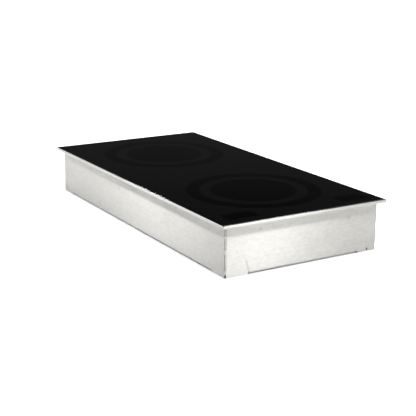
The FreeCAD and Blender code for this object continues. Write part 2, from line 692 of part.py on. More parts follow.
def display_module(area):
    """Block of light guides with one sunken window for each digit."""
    x0, x1, y0, y1 = area
    dx, dy = MODULE_INSET
    top = GLASS_BASE - MODULE_GAP
    block = box(x0 + dx, x1 - dx, y0 + dy, y1 - dy, DISPLAY_BOARD_Z + BOARD_SHEET, top)
    width, margin, depth = DIGIT
    windows = []
    for k in range(DIGITS):
        x = x0 + dx + margin + k * DIGIT_PITCH
        windows.append(box(x, x + width, y0 + dy + margin, y1 - dy - margin, top - depth, GLASS_BASE))
    return block.cut(windows)


# --- power electronics ----------------------------------------------------------------------
def circuit_board(board, dy=0.0):
    x0, x1, y0, y1 = board
    holes = [rod(BOARD_HOLE, 0, BOARD_TOP + 1, x, y) for x, y in board_corners(board, dy)]
    return box(x0, x1, y0 + dy, y1 + dy, BOARD_BOTTOM, BOARD_TOP).cut(holes)


def post(size, foot, seat, top, x, y):
    """Hexagon post with a stub through the sheet between foot and seat, threaded from the top."""
    flats, stub = size
    solid = fuse([rod(stub, foot, seat, x, y), hexagon(flats, seat, top, x, y)])
    return solid.cut(rod(POST_THREAD, top - POST_BORE, top, x, y))


def board_posts():
    """Hexagon posts pressed into the cover and the tray, under the fixing points of each board."""
    short = [post(BOARD_POST, COVER_BOTTOM, COVER_TOP, BOARD_BOTTOM, x, y) for x, y in all_board_corners()]
    tall = []
    for area in DISPLAYS.values():
        for x, y in display_posts(area):
            tall.append(post(DISPLAY_POST, TRAY_TOP - TRAY_SHEET, TRAY_TOP, DISPLAY_BOARD_Z, x, y))
    return group(short + tall)


def heatsink(centre):
    """Extruded sink: a foot, one thick cheek for the switches and a row of thin fins."""
    x0, x1, y0, y1, top = SINK
    y0, y1 = y0 + centre, y1 + centre
    foot = box(x0, x1, y0, y1, BOARD_TOP, BOARD_TOP + SINK_BASE)
    cheek = box(x1 - SINK_CHEEK, x1, y0, y1, BOARD_TOP, top)
    fins = []
    x = x0
    while x < x1 - SINK_CHEEK - FIN:
        fins.append(box(x, x + FIN, y0, y1, BOARD_TOP, top))
        x += FIN_PITCH
    return fuse([foot, cheek] + fins)


def power_switches(centre):
    """Flat packages clamped to the sink's cheek, with three legs down to the board."""
    x = SINK[1]
    thickness, width, bottom, top = SWITCH
    gap, leg_thickness, leg_width = SWITCH_LEG
    underside = BOARD_TOP + bottom
    packages = []
    for dy in SWITCH_Y:
        y = centre + dy
        pieces = [box(x, x + thickness, y, y + width, underside, BOARD_TOP + top)]
        for place in SWITCH_LEGS:
            leg = box(0, leg_thickness, 0, leg_width, BOARD_TOP, underside)
            pieces.append(moved(leg, x + gap, y + place))
        packages.append(fuse(pieces))
    return group(packages)


def on_board(x, y, length, width, height):
    """Component standing on a board, with rounded upright edges."""
    block = box(x, x + length, y, y + width, BOARD_TOP, BOARD_TOP + height)
    return block.makeFillet(ROUND_EDGE, [e for e in block.Edges if abs(e.tangentAt(0).z) > 0.9])


def film_capacitors(centre):
    blocks = []
    for x0, x1, width, height, places in (DC_CAPACITORS, RESONANT_CAPACITORS):
        blocks += [on_board(x0, centre + y, x1 - x0, width, height) for y in places]
    return group(blocks)


def choke_middle(centre):
    return (CHOKE[0] + CHOKE[1]) / 2, centre + (CHOKE[2] + CHOKE[3]) / 2


def choke_core(centre):
    """Ferrite frame with a centre leg."""
    x0, x1 = CHOKE[:2]
    y0, y1 = centre + CHOKE[2], centre + CHOKE[3]
    z0, z1 = BOARD_TOP + CHOKE_Z[0], BOARD_TOP + CHOKE_Z[1]
    side, yoke = CHOKE_YOKE
    frame = box(x0, x1, y0, y1, z0, z1).cut(box(x0 + side, x1 - side, y0 - 1, y1 + 1, z0 + yoke, z1 - yoke))
    leg = rod(CHOKE_LEG, z0, z1, *choke_middle(centre))
    feet = [box(x0, x1, y0, y0 + CHOKE_FOOT, BOARD_TOP, z0), box(x0, x1, y1 - CHOKE_FOOT, y1, BOARD_TOP, z0)]
    return fuse([frame, leg] + feet)


def choke_winding(centre):
    outer, inner, bottom, top = CHOKE_COIL
    return tube(outer, inner, BOARD_TOP + bottom, BOARD_TOP + top, *choke_middle(centre))


def coil_terminals(centre):
    half, height = COIL_TERMINAL
    top = BOARD_TOP + height
    return group(box(x - half, x + half, y - half, y + half, BOARD_TOP, top) for x, y in tail_spots(centre))


def control_parts():
    x0, y0, y1 = CONTROL_BOARD[0], CONTROL_BOARD[2], CONTROL_BOARD[3]
    count, pitch, margin, length, width, height = RELAYS
    relays = [on_board(x0 + margin + k * pitch, y0 + margin, length, width, height) for k in range(count)]
    left, right, near, far, tall = TRANSFORMER
    transformer = on_board(x0 + left, y1 + near, right - left, far - near, tall)
    return group(relays), transformer


def filter_parts():
    x0, y0, y1 = FILTER_BOARD[0], FILTER_BOARD[2], FILTER_BOARD[3]
    outer, inner, height, x, y = FILTER_CORE
    core = tube(outer, inner, BOARD_TOP, BOARD_TOP + height, x0 + x, y1 + y)
    rims = [e for e in core.Edges if e.BoundBox.ZMin > BOARD_TOP + height - 1 and e.isClosed()]
    core = core.makeFillet(FILTER_CORE_ROUND, rims)
    count, pitch, x, length, y, width, height = MAINS_CAPACITORS
    capacitors = [on_board(x0 + x, y0 + y + k * pitch, length, width, height) for k in range(count)]
    count, pitch, x, length, y, width, height = FUSES
    fuses = [on_board(x0 + x, y0 + y + k * pitch, length, width, height) for k in range(count)]
    return core, group(capacitors), group(fuses)


# --- blowers --------------------------------------------------------------------------------
def scroll_outline(grow):
    """Spiral outline of the blower around its axis, moved outwards by grow. It opens towards +Y."""
    tongue_x, outer_x, mouth_y = SCROLL_MOUTH
    start_y = SCROLL_START + grow
    points = [V(outer_x + grow, mouth_y, 0), V(tongue_x - grow, mouth_y, 0)]
    points += [V(tongue_x - grow, start_y, 0), V(0, start_y, 0)]
    edges = [Part.LineSegment(a, b).toShape() for a, b in zip(points, points[1:])]
    last = points[-1]
    for cx, cy, radius, start in SCROLL_ARCS:
        stops = []
        for degrees in (start + 45, start + 90):
            angle = math.radians(degrees)
            grown = radius + grow
            stops.append(V(cx + grown * math.cos(angle), cy + grown * math.sin(angle), 0))
        edges.append(Part.Arc(last, stops[0], stops[1]).toShape())
        last = stops[1]
    edges.append(Part.LineSegment(last, points[0]).toShape())
    return Part.Face(Part.Wire(edges))


def scroll_slab(grow, z0, z1, centre):
    return moved(scroll_outline(grow).extrude(V(0, 0, z1 - z0)), BLOWER_X, centre + BLOWER_DY, z0)


def blower_axis(centre):
    return BLOWER_X, centre + BLOWER_DY


def blower_housing(centre):
    x, y = blower_axis(centre)
    tongue_x, outer_x, mouth_y = SCROLL_MOUTH
    shell = [scroll_slab(BLOWER_WALL, COVER_TOP, BLOWER_ROOF, centre)]
    shell += [rod(BLOWER_EAR, COVER_TOP, BLOWER_EAR_TOP, ex, ey) for ex, ey in blower_ears(centre)]
    tools = [scroll_slab(0.0, BLOWER_FLOOR, BLOWER_ROOF, centre)]
    tools.append(box(x + tongue_x, x + outer_x, y + SCROLL_START, y + mouth_y + 1, BLOWER_FLOOR, BLOWER_ROOF))
    tools.append(rod(INLET_RADIUS, 0, BLOWER_FLOOR + 1, x, y))
    tools += [rod(BLOWER_SCREW[0] + 2 * SLIP, 0, BLOWER_ROOF, ex, ey) for ex, ey in blower_ears(centre)]
    return fuse(shell).cut(tools)


def blower_lid(centre):
    x, y = blower_axis(centre)
    lid = scroll_slab(BLOWER_WALL, BLOWER_ROOF, BLOWER_ROOF + BLOWER_LID, centre)
    return lid.cut(rod(LID_BORE, 0, HEIGHT, x, y))


def blower_motor(centre):
    """Four-pole stator hanging from the lid, with the sleeve that carries the shaft."""
    x, y = blower_axis(centre)
    sleeve_radius, sleeve_end = SLEEVE
    core, reach, width, low, high = STATOR
    plate_radius, plate_height = MOTOR_PLATE
    sleeve = tube(sleeve_radius, SHAFT_RADIUS + SHAFT_CLEARANCE, sleeve_end, BLOWER_ROOF + BLOWER_LID, x, y)
    ring = tube(core, sleeve_radius, low, high, x, y)
    pole = box(x + sleeve_radius + 1, x + reach, y - width / 2, y + width / 2, low, high)
    plate = tube(plate_radius, sleeve_radius, BLOWER_ROOF - plate_height, BLOWER_ROOF, x, y)
    return fuse([sleeve, ring, plate] + [turned(pole, quarter, x, y) for quarter in (0, 90, 180, 270)])


def impeller(centre):
    """Radial wheel: a cup around the motor, a back disc, a front ring and forward-curved blades."""
    cup_outer, cup_inner, cup_base, cup_floor = IMPELLER_CUP
    disc_z = IMPELLER_TOP - IMPELLER_DISC
    ring_inner = IMPELLER_RADIUS - IMPELLER_RING
    pieces = [
        tube(cup_outer, cup_inner, cup_base, IMPELLER_TOP),
        rod(cup_outer, cup_base, cup_base + cup_floor),
        tube(IMPELLER_RADIUS, cup_inner, disc_z, IMPELLER_TOP),
        tube(IMPELLER_RADIUS, ring_inner, IMPELLER_BOTTOM, IMPELLER_BOTTOM + IMPELLER_RING),
        rod(SHAFT_RADIUS, cup_base, BLOWER_ROOF + 1),
    ]
    inner, outer = IMPELLER_RADIUS - BLADE_DEPTH, IMPELLER_RADIUS - BLADE_SHY
    at_inner, at_outer = BLADE_SPAN
    corners = ((inner, 0.0), (outer, BLADE_LEAN), (outer, BLADE_LEAN + at_outer), (inner, at_inner))
    for k in range(BLADE_COUNT):
        angle = 2 * math.pi * k / BLADE_COUNT
        outline = [(r * math.cos(angle + turn), r * math.sin(angle + turn)) for r, turn in corners]
        pieces.append(prism(outline, IMPELLER_BOTTOM, disc_z + IMPELLER_DISC / 2))
    wheel = fuse(pieces)
    return moved(wheel, *blower_axis(centre))


# --- rear wall fittings ---------------------------------------------------------------------
def cable_gland():
    """Body, cap and locknut of the mains inlet, all with the same clear bore."""
    x, z = GLAND
    inner = WALL_HALF_Y - SHEET
    tail = inner - GLAND_TAIL
    collar = WALL_HALF_Y + GLAND_COLLAR
    body_flats, nut_flats = GLAND_FLATS
    bore = rod_y(GLAND_BORE, tail - 1, TOP_HALF_Y + 1, x, z)
    hexagon_part = hexagon_y(body_flats, WALL_HALF_Y, collar, x, z)
    body = fuse([rod_y(GLAND_THREAD, tail, WALL_HALF_Y, x, z), hexagon_part])
    cap = Part.makeCone(*GLAND_CAP, V(x, collar, z), Y_AXIS)
    nut = hexagon_y(nut_flats, inner - NUT_HEIGHT, inner, x, z)
    return body.cut(bore), cap.cut(bore), nut.cut(rod_y(GLAND_THREAD + SLIP, tail, inner, x, z))


def control_sockets():
    """Round four-pin sockets: the shells, and their pins in line with the floor of the bore."""
    flange_radius, flange = SOCKET_FLANGE
    back, face, front = WALL_HALF_Y - SOCKET_IN, WALL_HALF_Y - SOCKET_FLOOR, WALL_HALF_Y + SOCKET_OUT
    shells, pins = [], []
    for x, z in SOCKETS:
        barrel = rod_y(SOCKET_BARREL, back, front, x, z)
        shell = fuse([barrel, rod_y(flange_radius, WALL_HALF_Y, WALL_HALF_Y + flange, x, z)])
        places = [(x + PIN_OFFSET, z), (x, z + PIN_OFFSET), (x - PIN_OFFSET, z), (x, z - PIN_OFFSET)]
        tools = [rod_y(SOCKET_PIN + SLIP, back, WALL_HALF_Y, px, pz) for px, pz in places]
        tools.append(rod_y(SOCKET_BORE, face, front + 1, x, z))
        shells.append(shell.cut(tools))
        pins += [rod_y(SOCKET_PIN, back - 2, face, px, pz) for px, pz in places]
    return group(shells), group(pins)


def earth_terminal():
    """Stud through the wall, with a nut inside, and a washer and a nut outside."""
    x, z = EARTH
    radius, inside, outside = EARTH_STUD
    washer_radius, washer = WASHER
    inner, seat = WALL_HALF_Y - SHEET, WALL_HALF_Y + washer
    nuts = [
        hexagon_y(EARTH_FLATS, inner - NUT_HEIGHT, inner, x, z),
        hexagon_y(EARTH_FLATS, seat, seat + NUT_HEIGHT, x, z),
        rod_y(washer_radius, WALL_HALF_Y, seat, x, z),
    ]
    clear = rod_y(radius + SLIP, WALL_HALF_Y - inside, WALL_HALF_Y + outside, x, z)
    stud = rod_y(radius, WALL_HALF_Y - inside, WALL_HALF_Y + outside, x, z)
    return stud, group(nut.cut(clear) for nut in nuts)


def terminal_block():
    """Five-pole block: a stepped body with a wire hole and a clamping screw for each pole."""
    x0, x1, y0, y1 = BLOCK
    radius, low, high = CLAMP_SCREW
    half, depth = CLAMP_SLOT
    head_clear = BLOCK_SCREW[1] + 0.4
    step = box(x0, x1, y0 + BLOCK_SHOULDER, y1 - BLOCK_SHOULDER, BLOCK_STEP, BLOCK_TOP)
    body = fuse([box(x0, x1, y0, y1, COVER_TOP, BLOCK_STEP), step])
    tools = [rod(BLOCK_SCREW[0] + SLIP, 0.0, BLOCK_TOP + 1, x, y) for x, y in BLOCK_FIXINGS]
    tools += [rod(head_clear, BLOCK_STEP, BLOCK_TOP + 1, x, y) for x, y in BLOCK_FIXINGS]
    screws = []
    for k in range(POLES):
        x = POLE_FIRST + k * POLE_PITCH
        tools.append(rod_y(POLE_HOLE, y0 - 1, y1 + 1, x, POLE_Z))
        tools.append(rod(radius + 2 * SLIP, POLE_Z + 2, BLOCK_TOP + 1, x, BLOCK_MIDDLE))
        slot = box(x - PAST, x + PAST, BLOCK_MIDDLE - half, BLOCK_MIDDLE + half, high - depth, high + 1)
        screws.append(rod(radius, low, high, x, BLOCK_MIDDLE).cut(slot))
    return body.cut(tools), group(screws)


# --- leads ----------------------------------------------------------------------------------
def mains_leads():
    """Leads from the terminal block forward to the filter board."""
    block_y, rise_y, board_y, top = MAINS_RUN
    leads = []
    for k in range(MAINS_LEADS):
        x = POLE_FIRST + k * POLE_PITCH
        route = [(x, block_y, POLE_Z), (x, rise_y, POLE_Z), (x, rise_y, top), (x, board_y, top)]
        leads.append(wire_run(route + [(x, board_y, BOARD_TOP)], LEAD_BEND, LEAD))
    return group(leads)


def supply_leads():
    """Leads from the filter board to the control board, beside the front power board."""
    filter_y, control_y, top = SUPPLY_RUN
    leads = []
    for k in range(SUPPLY_LEADS):
        x = POLE_FIRST + k * POLE_PITCH
        route = [(x, filter_y, BOARD_TOP), (x, filter_y, top), (x, control_y, top), (x, control_y, BOARD_TOP)]
        leads.append(wire_run(route, LEAD_BEND, LEAD))
    return group(leads)


# --- screws ---------------------------------------------------------------------------------
def cover_screws():
    return group(screw(COVER_SCREW, COVER_BOTTOM, x, y, up=True) for x, y in screw_spots())


def board_screws():
    boards = [screw(BOARD_SCREW, BOARD_TOP, x, y) for x, y in all_board_corners()]
    displays = []
    display_top = DISPLAY_BOARD_Z + BOARD_SHEET
    for area in DISPLAYS.values():
        displays += [screw(DISPLAY_SCREW, display_top, x, y) for x, y in display_posts(area)]
    return group(boards + displays)


def tray_screws():
    return group(screw(TRAY_SCREW, TRAY_TOP, x, y) for x, y in tray_fixing_spots())


def blower_screws():
    spots = [spot for centre in ZONES.values() for spot in blower_ears(centre)]
    blowers = [screw(BLOWER_SCREW, BLOWER_EAR_TOP, x, y) for x, y in spots]
    block = [screw(BLOCK_SCREW, BLOCK_STEP, x, y) for x, y in BLOCK_FIXINGS]
    return group(blowers + block)


# --- assembly -------------------------------------------------------------------------------
def both_zones(make):
    """The same piece under both zones, as separate solids of one node."""
    solids = []
    for centre in ZONES.values():
        solids += make(centre).Solids
    return group(solids)


def power_board(centre):
    return circuit_board(POWER_BOARD, centre)


def build():
    side = dict(half=WALL_HALF_X, span=WALL_HALF_Y, setback=SIDE_SETBACK, screws=SIDE_SCREWS)
    relays, transformer = control_parts()
    filter_core, filter_capacitors, fuses = filter_parts()
    gland_body, gland_cap, gland_nut = cable_gland()
    sockets, pins = control_sockets()
    earth_stud, earth_nuts = earth_terminal()
    block, block_screws = terminal_block()
    parts = {
        "panel_front": front_panel(),
        "panel_rear": rear_panel(),
        "panel_left": turned(wall_panel(fold=(-SIDE_FOLD[1], -SIDE_FOLD[0]), **side), -90),
        "panel_right": turned(wall_panel(fold=SIDE_FOLD, **side), 90),
        "corner_welds": corner_welds(),
        "glass_top": glass_top(),
        "glass_bond": glass_bond(),
        "base_cover": base_cover(),
        "cover_screws": cover_screws(),
        "tray_brackets": tray_brackets(),
        "coil_tray": coil_tray(),
        "tray_screws": tray_screws(),
        "guide_pins": guide_pins(),
        "display_boards": group(display_board(area) for area in DISPLAYS.values()),
        "display_modules": group(display_module(area) for area in DISPLAYS.values()),
        "board_posts": board_posts(),
        "board_screws": board_screws(),
        "blower_screws": blower_screws(),
        "control_board": circuit_board(CONTROL_BOARD),
        "control_relays": relays,
        "control_transformer": transformer,
        "filter_board": circuit_board(FILTER_BOARD),
        "filter_choke": filter_core,
        "filter_capacitors": filter_capacitors,
        "fuse_blocks": fuses,
        "mains_leads": mains_leads(),
        "supply_leads": supply_leads(),
        "terminal_block": block,
        "terminal_screws": block_screws,
        "gland_body": gland_body,
        "gland_cap": gland_cap,
        "gland_locknut": gland_nut,
        "control_sockets": sockets,
        "socket_pins": pins,
        "earth_stud": earth_stud,
        "earth_nuts": earth_nuts,
    }
    shared = {
        "ferrite_bars": ferrite_bars,
        "insulation_pads": insulation_pad,
        "temperature_sensors": temperature_sensor,
        "carrier_springs": carrier_springs,
        "power_boards": power_board,
        "power_switches": power_switches,
        "film_capacitors": film_capacitors,
        "choke_cores": choke_core,
        "choke_windings": choke_winding,
        "coil_terminals": coil_terminals,
        "blower_lids": blower_lid,
        "blower_motors": blower_motor,
    }
    for name, make in shared.items():
        parts[name] = both_zones(make)
    single = {
        "coil_winding": coil_winding,
        "coil_carrier": coil_carrier,
        "heatsink": heatsink,
        "blower_housing": blower_housing,
        "impeller": impeller,
    }
    for zone, centre in ZONES.items():
        for name, make in single.items():
            parts[name + "_" + zone] = make(centre)
    return parts


os.makedirs("parts", exist_ok=True)
for node, shape in build().items():
    shape.exportStep("parts/" + node + ".step")
    print(node, len(shape.Solids), round(shape.Volume))
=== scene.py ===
import json
import logging
import math
from dataclasses import dataclass
from enum import Enum
from typing import Any, Dict, List, Optional, Sequence, Tuple, Union

import bpy
import numpy as np
from mathutils import Matrix, Vector


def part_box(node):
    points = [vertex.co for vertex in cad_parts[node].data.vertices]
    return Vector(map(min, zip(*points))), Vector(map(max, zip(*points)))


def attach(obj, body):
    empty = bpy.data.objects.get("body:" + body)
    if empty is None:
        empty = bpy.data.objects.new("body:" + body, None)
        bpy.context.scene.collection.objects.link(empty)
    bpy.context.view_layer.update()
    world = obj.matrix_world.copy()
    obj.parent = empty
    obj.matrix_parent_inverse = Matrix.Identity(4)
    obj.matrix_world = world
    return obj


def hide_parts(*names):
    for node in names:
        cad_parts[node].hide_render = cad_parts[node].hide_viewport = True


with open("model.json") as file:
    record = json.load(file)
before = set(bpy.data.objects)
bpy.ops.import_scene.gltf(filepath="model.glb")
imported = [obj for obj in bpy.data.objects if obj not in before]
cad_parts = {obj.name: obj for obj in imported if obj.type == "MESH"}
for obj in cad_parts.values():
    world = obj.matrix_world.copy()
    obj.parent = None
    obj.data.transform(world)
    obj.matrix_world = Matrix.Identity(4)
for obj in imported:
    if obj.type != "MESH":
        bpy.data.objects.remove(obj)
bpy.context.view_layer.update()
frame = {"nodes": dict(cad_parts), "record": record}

LOG = logging.getLogger("induction_cooktop")
MM = 0.001

Object, Material = bpy.types.Object, bpy.types.Material
Number = Union["Sock", float, int]
Pair = Tuple[float, float]
Colour = Tuple[float, float, float]
Triple = Tuple[float, float, float]


class Grain(Enum):
    """Direction in which a sheet was brushed."""

    ALONG_X = "x"
    ALONG_Y = "y"


# --- shader graph ------------------------------
class Sock:
    """An output socket that can be used like a number in an expression."""

    def __init__(self, graph: "Graph", socket: bpy.types.NodeSocket) -> None:
        """Keep the output socket that this value stands for, and the graph that it belongs to."""
        self.graph = graph
        self.socket = socket

    def _join(self, operation: str, other: Number, swapped: bool = False) -> "Sock":
        """One Math node with this value and another, which comes first where swapped."""
        pair = (other, self) if swapped else (self, other)
        return self.graph.math(operation, *pair)

    def __add__(self, other: Number) -> "Sock":
        """Sum."""
        return self._join("ADD", other)

    def __radd__(self, other: Number) -> "Sock":
        """Sum with a plain number first."""
        return self._join("ADD", other, True)

    def __sub__(self, other: Number) -> "Sock":
        """Difference."""
        return self._join("SUBTRACT", other)

    def __rsub__(self, other: Number) -> "Sock":
        """Difference with a plain number first."""
        return self._join("SUBTRACT", other, True)

    def __mul__(self, other: Number) -> "Sock":
        """Product."""
        return self._join("MULTIPLY", other)

    def __rmul__(self, other: Number) -> "Sock":
        """Product with a plain number first."""
        return self._join("MULTIPLY", other, True)

    def __truediv__(self, other: Number) -> "Sock":
        """Quotient."""
        return self._join("DIVIDE", other)

    def __rtruediv__(self, other: Number) -> "Sock":
        """Quotient with a plain number first."""
        return self._join("DIVIDE", other, True)

    def __abs__(self) -> "Sock":
        """Absolute value."""
        return self.graph.math("ABSOLUTE", self)


class Graph:
    """The node tree of a material or of the surroundings, written as Python expressions."""

    def __init__(self, owner: Union[Material, bpy.types.World]) -> None:
        """Keep the owner and empty its node tree.

        Args:
            owner: The material or world.
        """
        self.owner = owner
        owner.use_nodes = True
        self.tree = owner.node_tree
        self.tree.nodes.clear()

    @classmethod
    def of_material(cls, name: str) -> "Graph":
        """Graph of a new material with this name."""
        return cls(bpy.data.materials.new(name))

    def node(self, kind: str, settings: Dict[str, Any], inputs: Dict[Any, Any]) -> bpy.types.Node:
        """Add one node, set its options, then its sockets.

        Args:
            kind: Blender's node type.
            settings: Options of the node, set before its sockets.
            inputs: Values or sockets by input name or number.

        Returns:
            The new node.
        """
        node = self.tree.nodes.new(kind)
        for key, value in settings.items():
            setattr(node, key, value)
        for key, value in inputs.items():
            if isinstance(value, Sock):
                self.tree.links.new(value.socket, node.inputs[key])
            else:
                node.inputs[key].default_value = value
        return node

    def out(self, node: bpy.types.Node, name: Any = 0) -> Sock:
        """Output of a node, by name or number."""
        return Sock(self, node.outputs[name])

    def math(self, operation: str, *values: Number) -> Sock:
        """One Math node."""
        return self.out(self.node("ShaderNodeMath", {"operation": operation}, dict(enumerate(values))))

    def ramp(self, value: Number, low: float, high: float) -> Sock:
        """Smooth step of a value, from 0 at low to 1 at high."""
        inputs = {0: value, 1: low, 2: high}
        return self.out(self.node("ShaderNodeMapRange", {"interpolation_type": "SMOOTHSTEP"}, inputs))

    def blend(self, first: Any, second: Any, factor: Number) -> Sock:
        """Mix of two colours.

        Args:
            first: Colour at factor 0, as numbers or a socket.
            second: Colour at factor 1, as numbers or a socket.
            factor: Mix factor.

        Returns:
            The mixed colour.
        """
        colours = [c if isinstance(c, Sock) else (*c, 1.0) for c in (first, second)]
        node = self.node("ShaderNodeMix", {"data_type": "RGBA"}, {0: factor, 6: colours[0], 7: colours[1]})
        return self.out(node, 2)

    def split(self, vector: Sock) -> Tuple[Sock, Sock, Sock]:
        """The three values of a vector."""
        node = self.node("ShaderNodeSeparateXYZ", {}, {0: vector})
        return self.out(node, 0), self.out(node, 1), self.out(node, 2)

    def place(self) -> Tuple[Sock, Sock, Sock]:
        """Object coordinates in metres, as three values."""
        return self.split(self.out(self.node("ShaderNodeTexCoord", {}, {}), "Object"))

    def vector(self, x: Number, y: Number, z: Number) -> Sock:
        """A vector from three values."""
        return self.out(self.node("ShaderNodeCombineXYZ", {}, {0: x, 1: y, 2: z}))

    def noise(self, where: Sock, scale: float = 1.0, detail: float = 2.0, rough: float = 0.5) -> Sock:
        """Soft noise around 0.5, with its repeats per unit, finer layers and their strength."""
        inputs = {"Vector": where, "Scale": scale, "Detail": detail, "Roughness": rough}
        return self.out(self.node("ShaderNodeTexNoise", {"noise_dimensions": "3D"}, inputs))

    def bump(self, height: Sock, depth: float, strength: float = 1.0) -> Sock:
        """Normal shaped by a height, where a height of 1 is depth metres, at a share of the effect."""
        inputs = {"Strength": strength, "Distance": depth, "Height": height}
        return self.out(self.node("ShaderNodeBump", {}, inputs))

    def surface(self, constants: Dict[str, Any], varying: Dict[str, Sock]) -> Material:
        """Finish the material with one Principled shader.

        Args:
            constants: Values that are the same all over.
            varying: Sockets that vary over the surface.

        Returns:
            The material.
        """
        shader = self.node("ShaderNodeBsdfPrincipled", {}, {**constants, **varying})
        self.node("ShaderNodeOutputMaterial", {}, {"Surface": self.out(shader)})
        return self.owner


# --- finishes ------------------------------
@dataclass(frozen=True)
class NoiseLayer:
    """Noise stretched along the axes of a surface.

    Attributes:
        repeats: Pattern repeats per metre along each of the three values given.
        detail: Number of finer layers.
        rough: Strength of the finer layers.
    """

    repeats: Triple
    detail: float
    rough: float

    def value(self, g: Graph, first: Sock, second: Sock, third: Sock) -> Sock:
        """Noise around 0.5 at a place, given as three coordinates in metres."""
        a, b, c = self.repeats
        return g.noise(g.vector(first * a, second * b, third * c), 1.0, self.detail, self.rough)


@dataclass(frozen=True)
class Mark:
    """A faint round darker patch on a wall, in millimetres.

    Attributes:
        along: Place along the wall.
        height: Height above the standing plane.
        radius: Size.
        depth: Share by which it darkens the steel.
    """

    along: float
    height: float
    radius: float
    depth: float

    def darkening(self, g: Graph, along: Sock, z: Sock) -> Sock:
        """Share by which the steel is darkened: full in the middle half of the radius, none past it.

        Args:
            g: The graph.
            along: Place along the wall in metres.
            z: Height in metres.

        Returns:
            The share.
        """
        du = (along - self.along * MM) / (self.radius * MM)
        dz = (z - self.height * MM) / (self.radius * MM)
        return (1.0 - g.ramp(du * du + dz * dz, 0.25, 1.0)) * self.depth


@dataclass(frozen=True)
class Crease:
    """A faint crease that starts at a fold's end, in millimetres.

    Attributes:
        along: Place of its foot along the wall.
        foot: Height of its foot.
        lean: Sideways lean per unit of height.
        length: Length.
        half_width: Half width.
        rise: Height against the grain of the brushing.
    """

    along: float
    foot: float
    lean: float
    length: float
    half_width: float = 1.7
    rise: float = 3.6

    def height(self, g: Graph, along: Sock, z: Sock) -> Sock:
        """Height of the crease: a smooth ridge along a leaning line, fading over its last two fifths.

        Args:
            g: The graph.
            along: Place along the wall in metres.
            z: Height in metres.

        Returns:
            The height.
        """
        line = along - self.along * MM + (z - self.foot * MM) * self.lean
        ridge = 1.0 - g.ramp(abs(line) / (self.half_width * MM), 0.0, 1.0)
        inside = 1.0 - g.ramp(z, (self.foot + 0.6 * self.length) * MM, (self.foot + self.length) * MM)
        return ridge * inside * self.rise


@dataclass(frozen=True)
class BrushedSteel:
    """Satin stainless sheet with fine lines along its length.

    Attributes:
        grain: Brushing direction.
        marks: Round darker patches, mostly smudges and spot-weld traces.
        crease: Faint crease beside the fold.
        cut_end: Distance from the middle to the darkened cut edges at the seams, in millimetres, or 0 for
            none.
        cut_edge: How far a cut edge's dark grey starts and is full inside the end, in millimetres.
        cut_top: Heights between which the dark grey fades out below the rim, in millimetres.
        scale: Dark grey colour of the cut edges at the seams.
        base: Colour of the clean steel.
        lines: Colour in the deeper brush lines.
        smudged: Colour of smudges and other darker patches.
        roughness: Mean roughness.
        relief: Depth of the brushing, in millimetres.
        fine: Finest brush lines, along, across and up the wall.
        streak: Longer brush lines.
        mottle: Cloudy grain of the rolled sheet.
        cloud: Wide uneven patches.
    """

    grain: Grain
    marks: Tuple[Mark, ...] = ()
    crease: Optional[Crease] = None
    cut_end: float = 0.0
    cut_edge: Pair = (0.3, 0.05)
    cut_top: Pair = (90.0, 91.0)
    scale: Colour = (0.20, 0.198, 0.194)
    base: Colour = (0.572, 0.568, 0.545)
    lines: Colour = (0.500, 0.496, 0.474)
    smudged: Colour = (0.40, 0.395, 0.385)
    roughness: float = 0.44
    relief: float = 0.05
    fine: NoiseLayer = NoiseLayer((30.0, 1800.0, 1800.0), 2.0, 0.6)
    streak: NoiseLayer = NoiseLayer((14.0, 300.0, 380.0), 3.0, 0.6)
    mottle: NoiseLayer = NoiseLayer((120.0, 260.0, 260.0), 3.0, 0.65)
    cloud: NoiseLayer = NoiseLayer((9.0, 9.0, 16.0), 4.0, 0.55)

    def material(self, name: str) -> Material:
        """Build the material.

        Args:
            name: Name of the material.

        Returns:
            The material.
        """
        g = Graph.of_material(name)
        x, y, z = g.place()
        along, across = (x, y) if self.grain is Grain.ALONG_X else (y, x)
        layers = (self.fine, self.streak, self.mottle, self.cloud)
        fine, streak, mottle, cloud = (layer.value(g, along, across, z) for layer in layers)
        lines = fine * 0.35 + streak * 0.2 + mottle * 0.45
        colour = g.blend(self.lines, self.base, g.ramp(lines, 0.38, 0.60))
        smudge = g.ramp(cloud, 0.60, 0.78) * 0.35
        for mark in self.marks:
            smudge = smudge + mark.darkening(g, along, z)
        colour = g.blend(colour, self.smudged, smudge)
        # The cut edges at the seams are coloured dark grey below the rim.
        if self.cut_end:
            start, full = ((self.cut_end - depth) * MM for depth in self.cut_edge)
            below_rim = 1.0 - g.ramp(z, self.cut_top[0] * MM, self.cut_top[1] * MM)
            colour = g.blend(colour, self.scale, g.ramp(abs(along), start, full) * below_rim)
        height = fine * 0.5 + streak * 0.25 + mottle * 0.5
        if self.crease:
            height = height + self.crease.height(g, along, z)
        rough = self.roughness + (streak - 0.5) * 0.12 + smudge * 0.10 + (cloud - 0.5) * 0.08
        return g.surface(
            {"Metallic": 1.0, "Anisotropic": 1.0, "Anisotropic Rotation": 0.25},
            {"Base Color": colour, "Roughness": rough, "Normal": g.bump(height, self.relief * MM, 0.6)},
        )


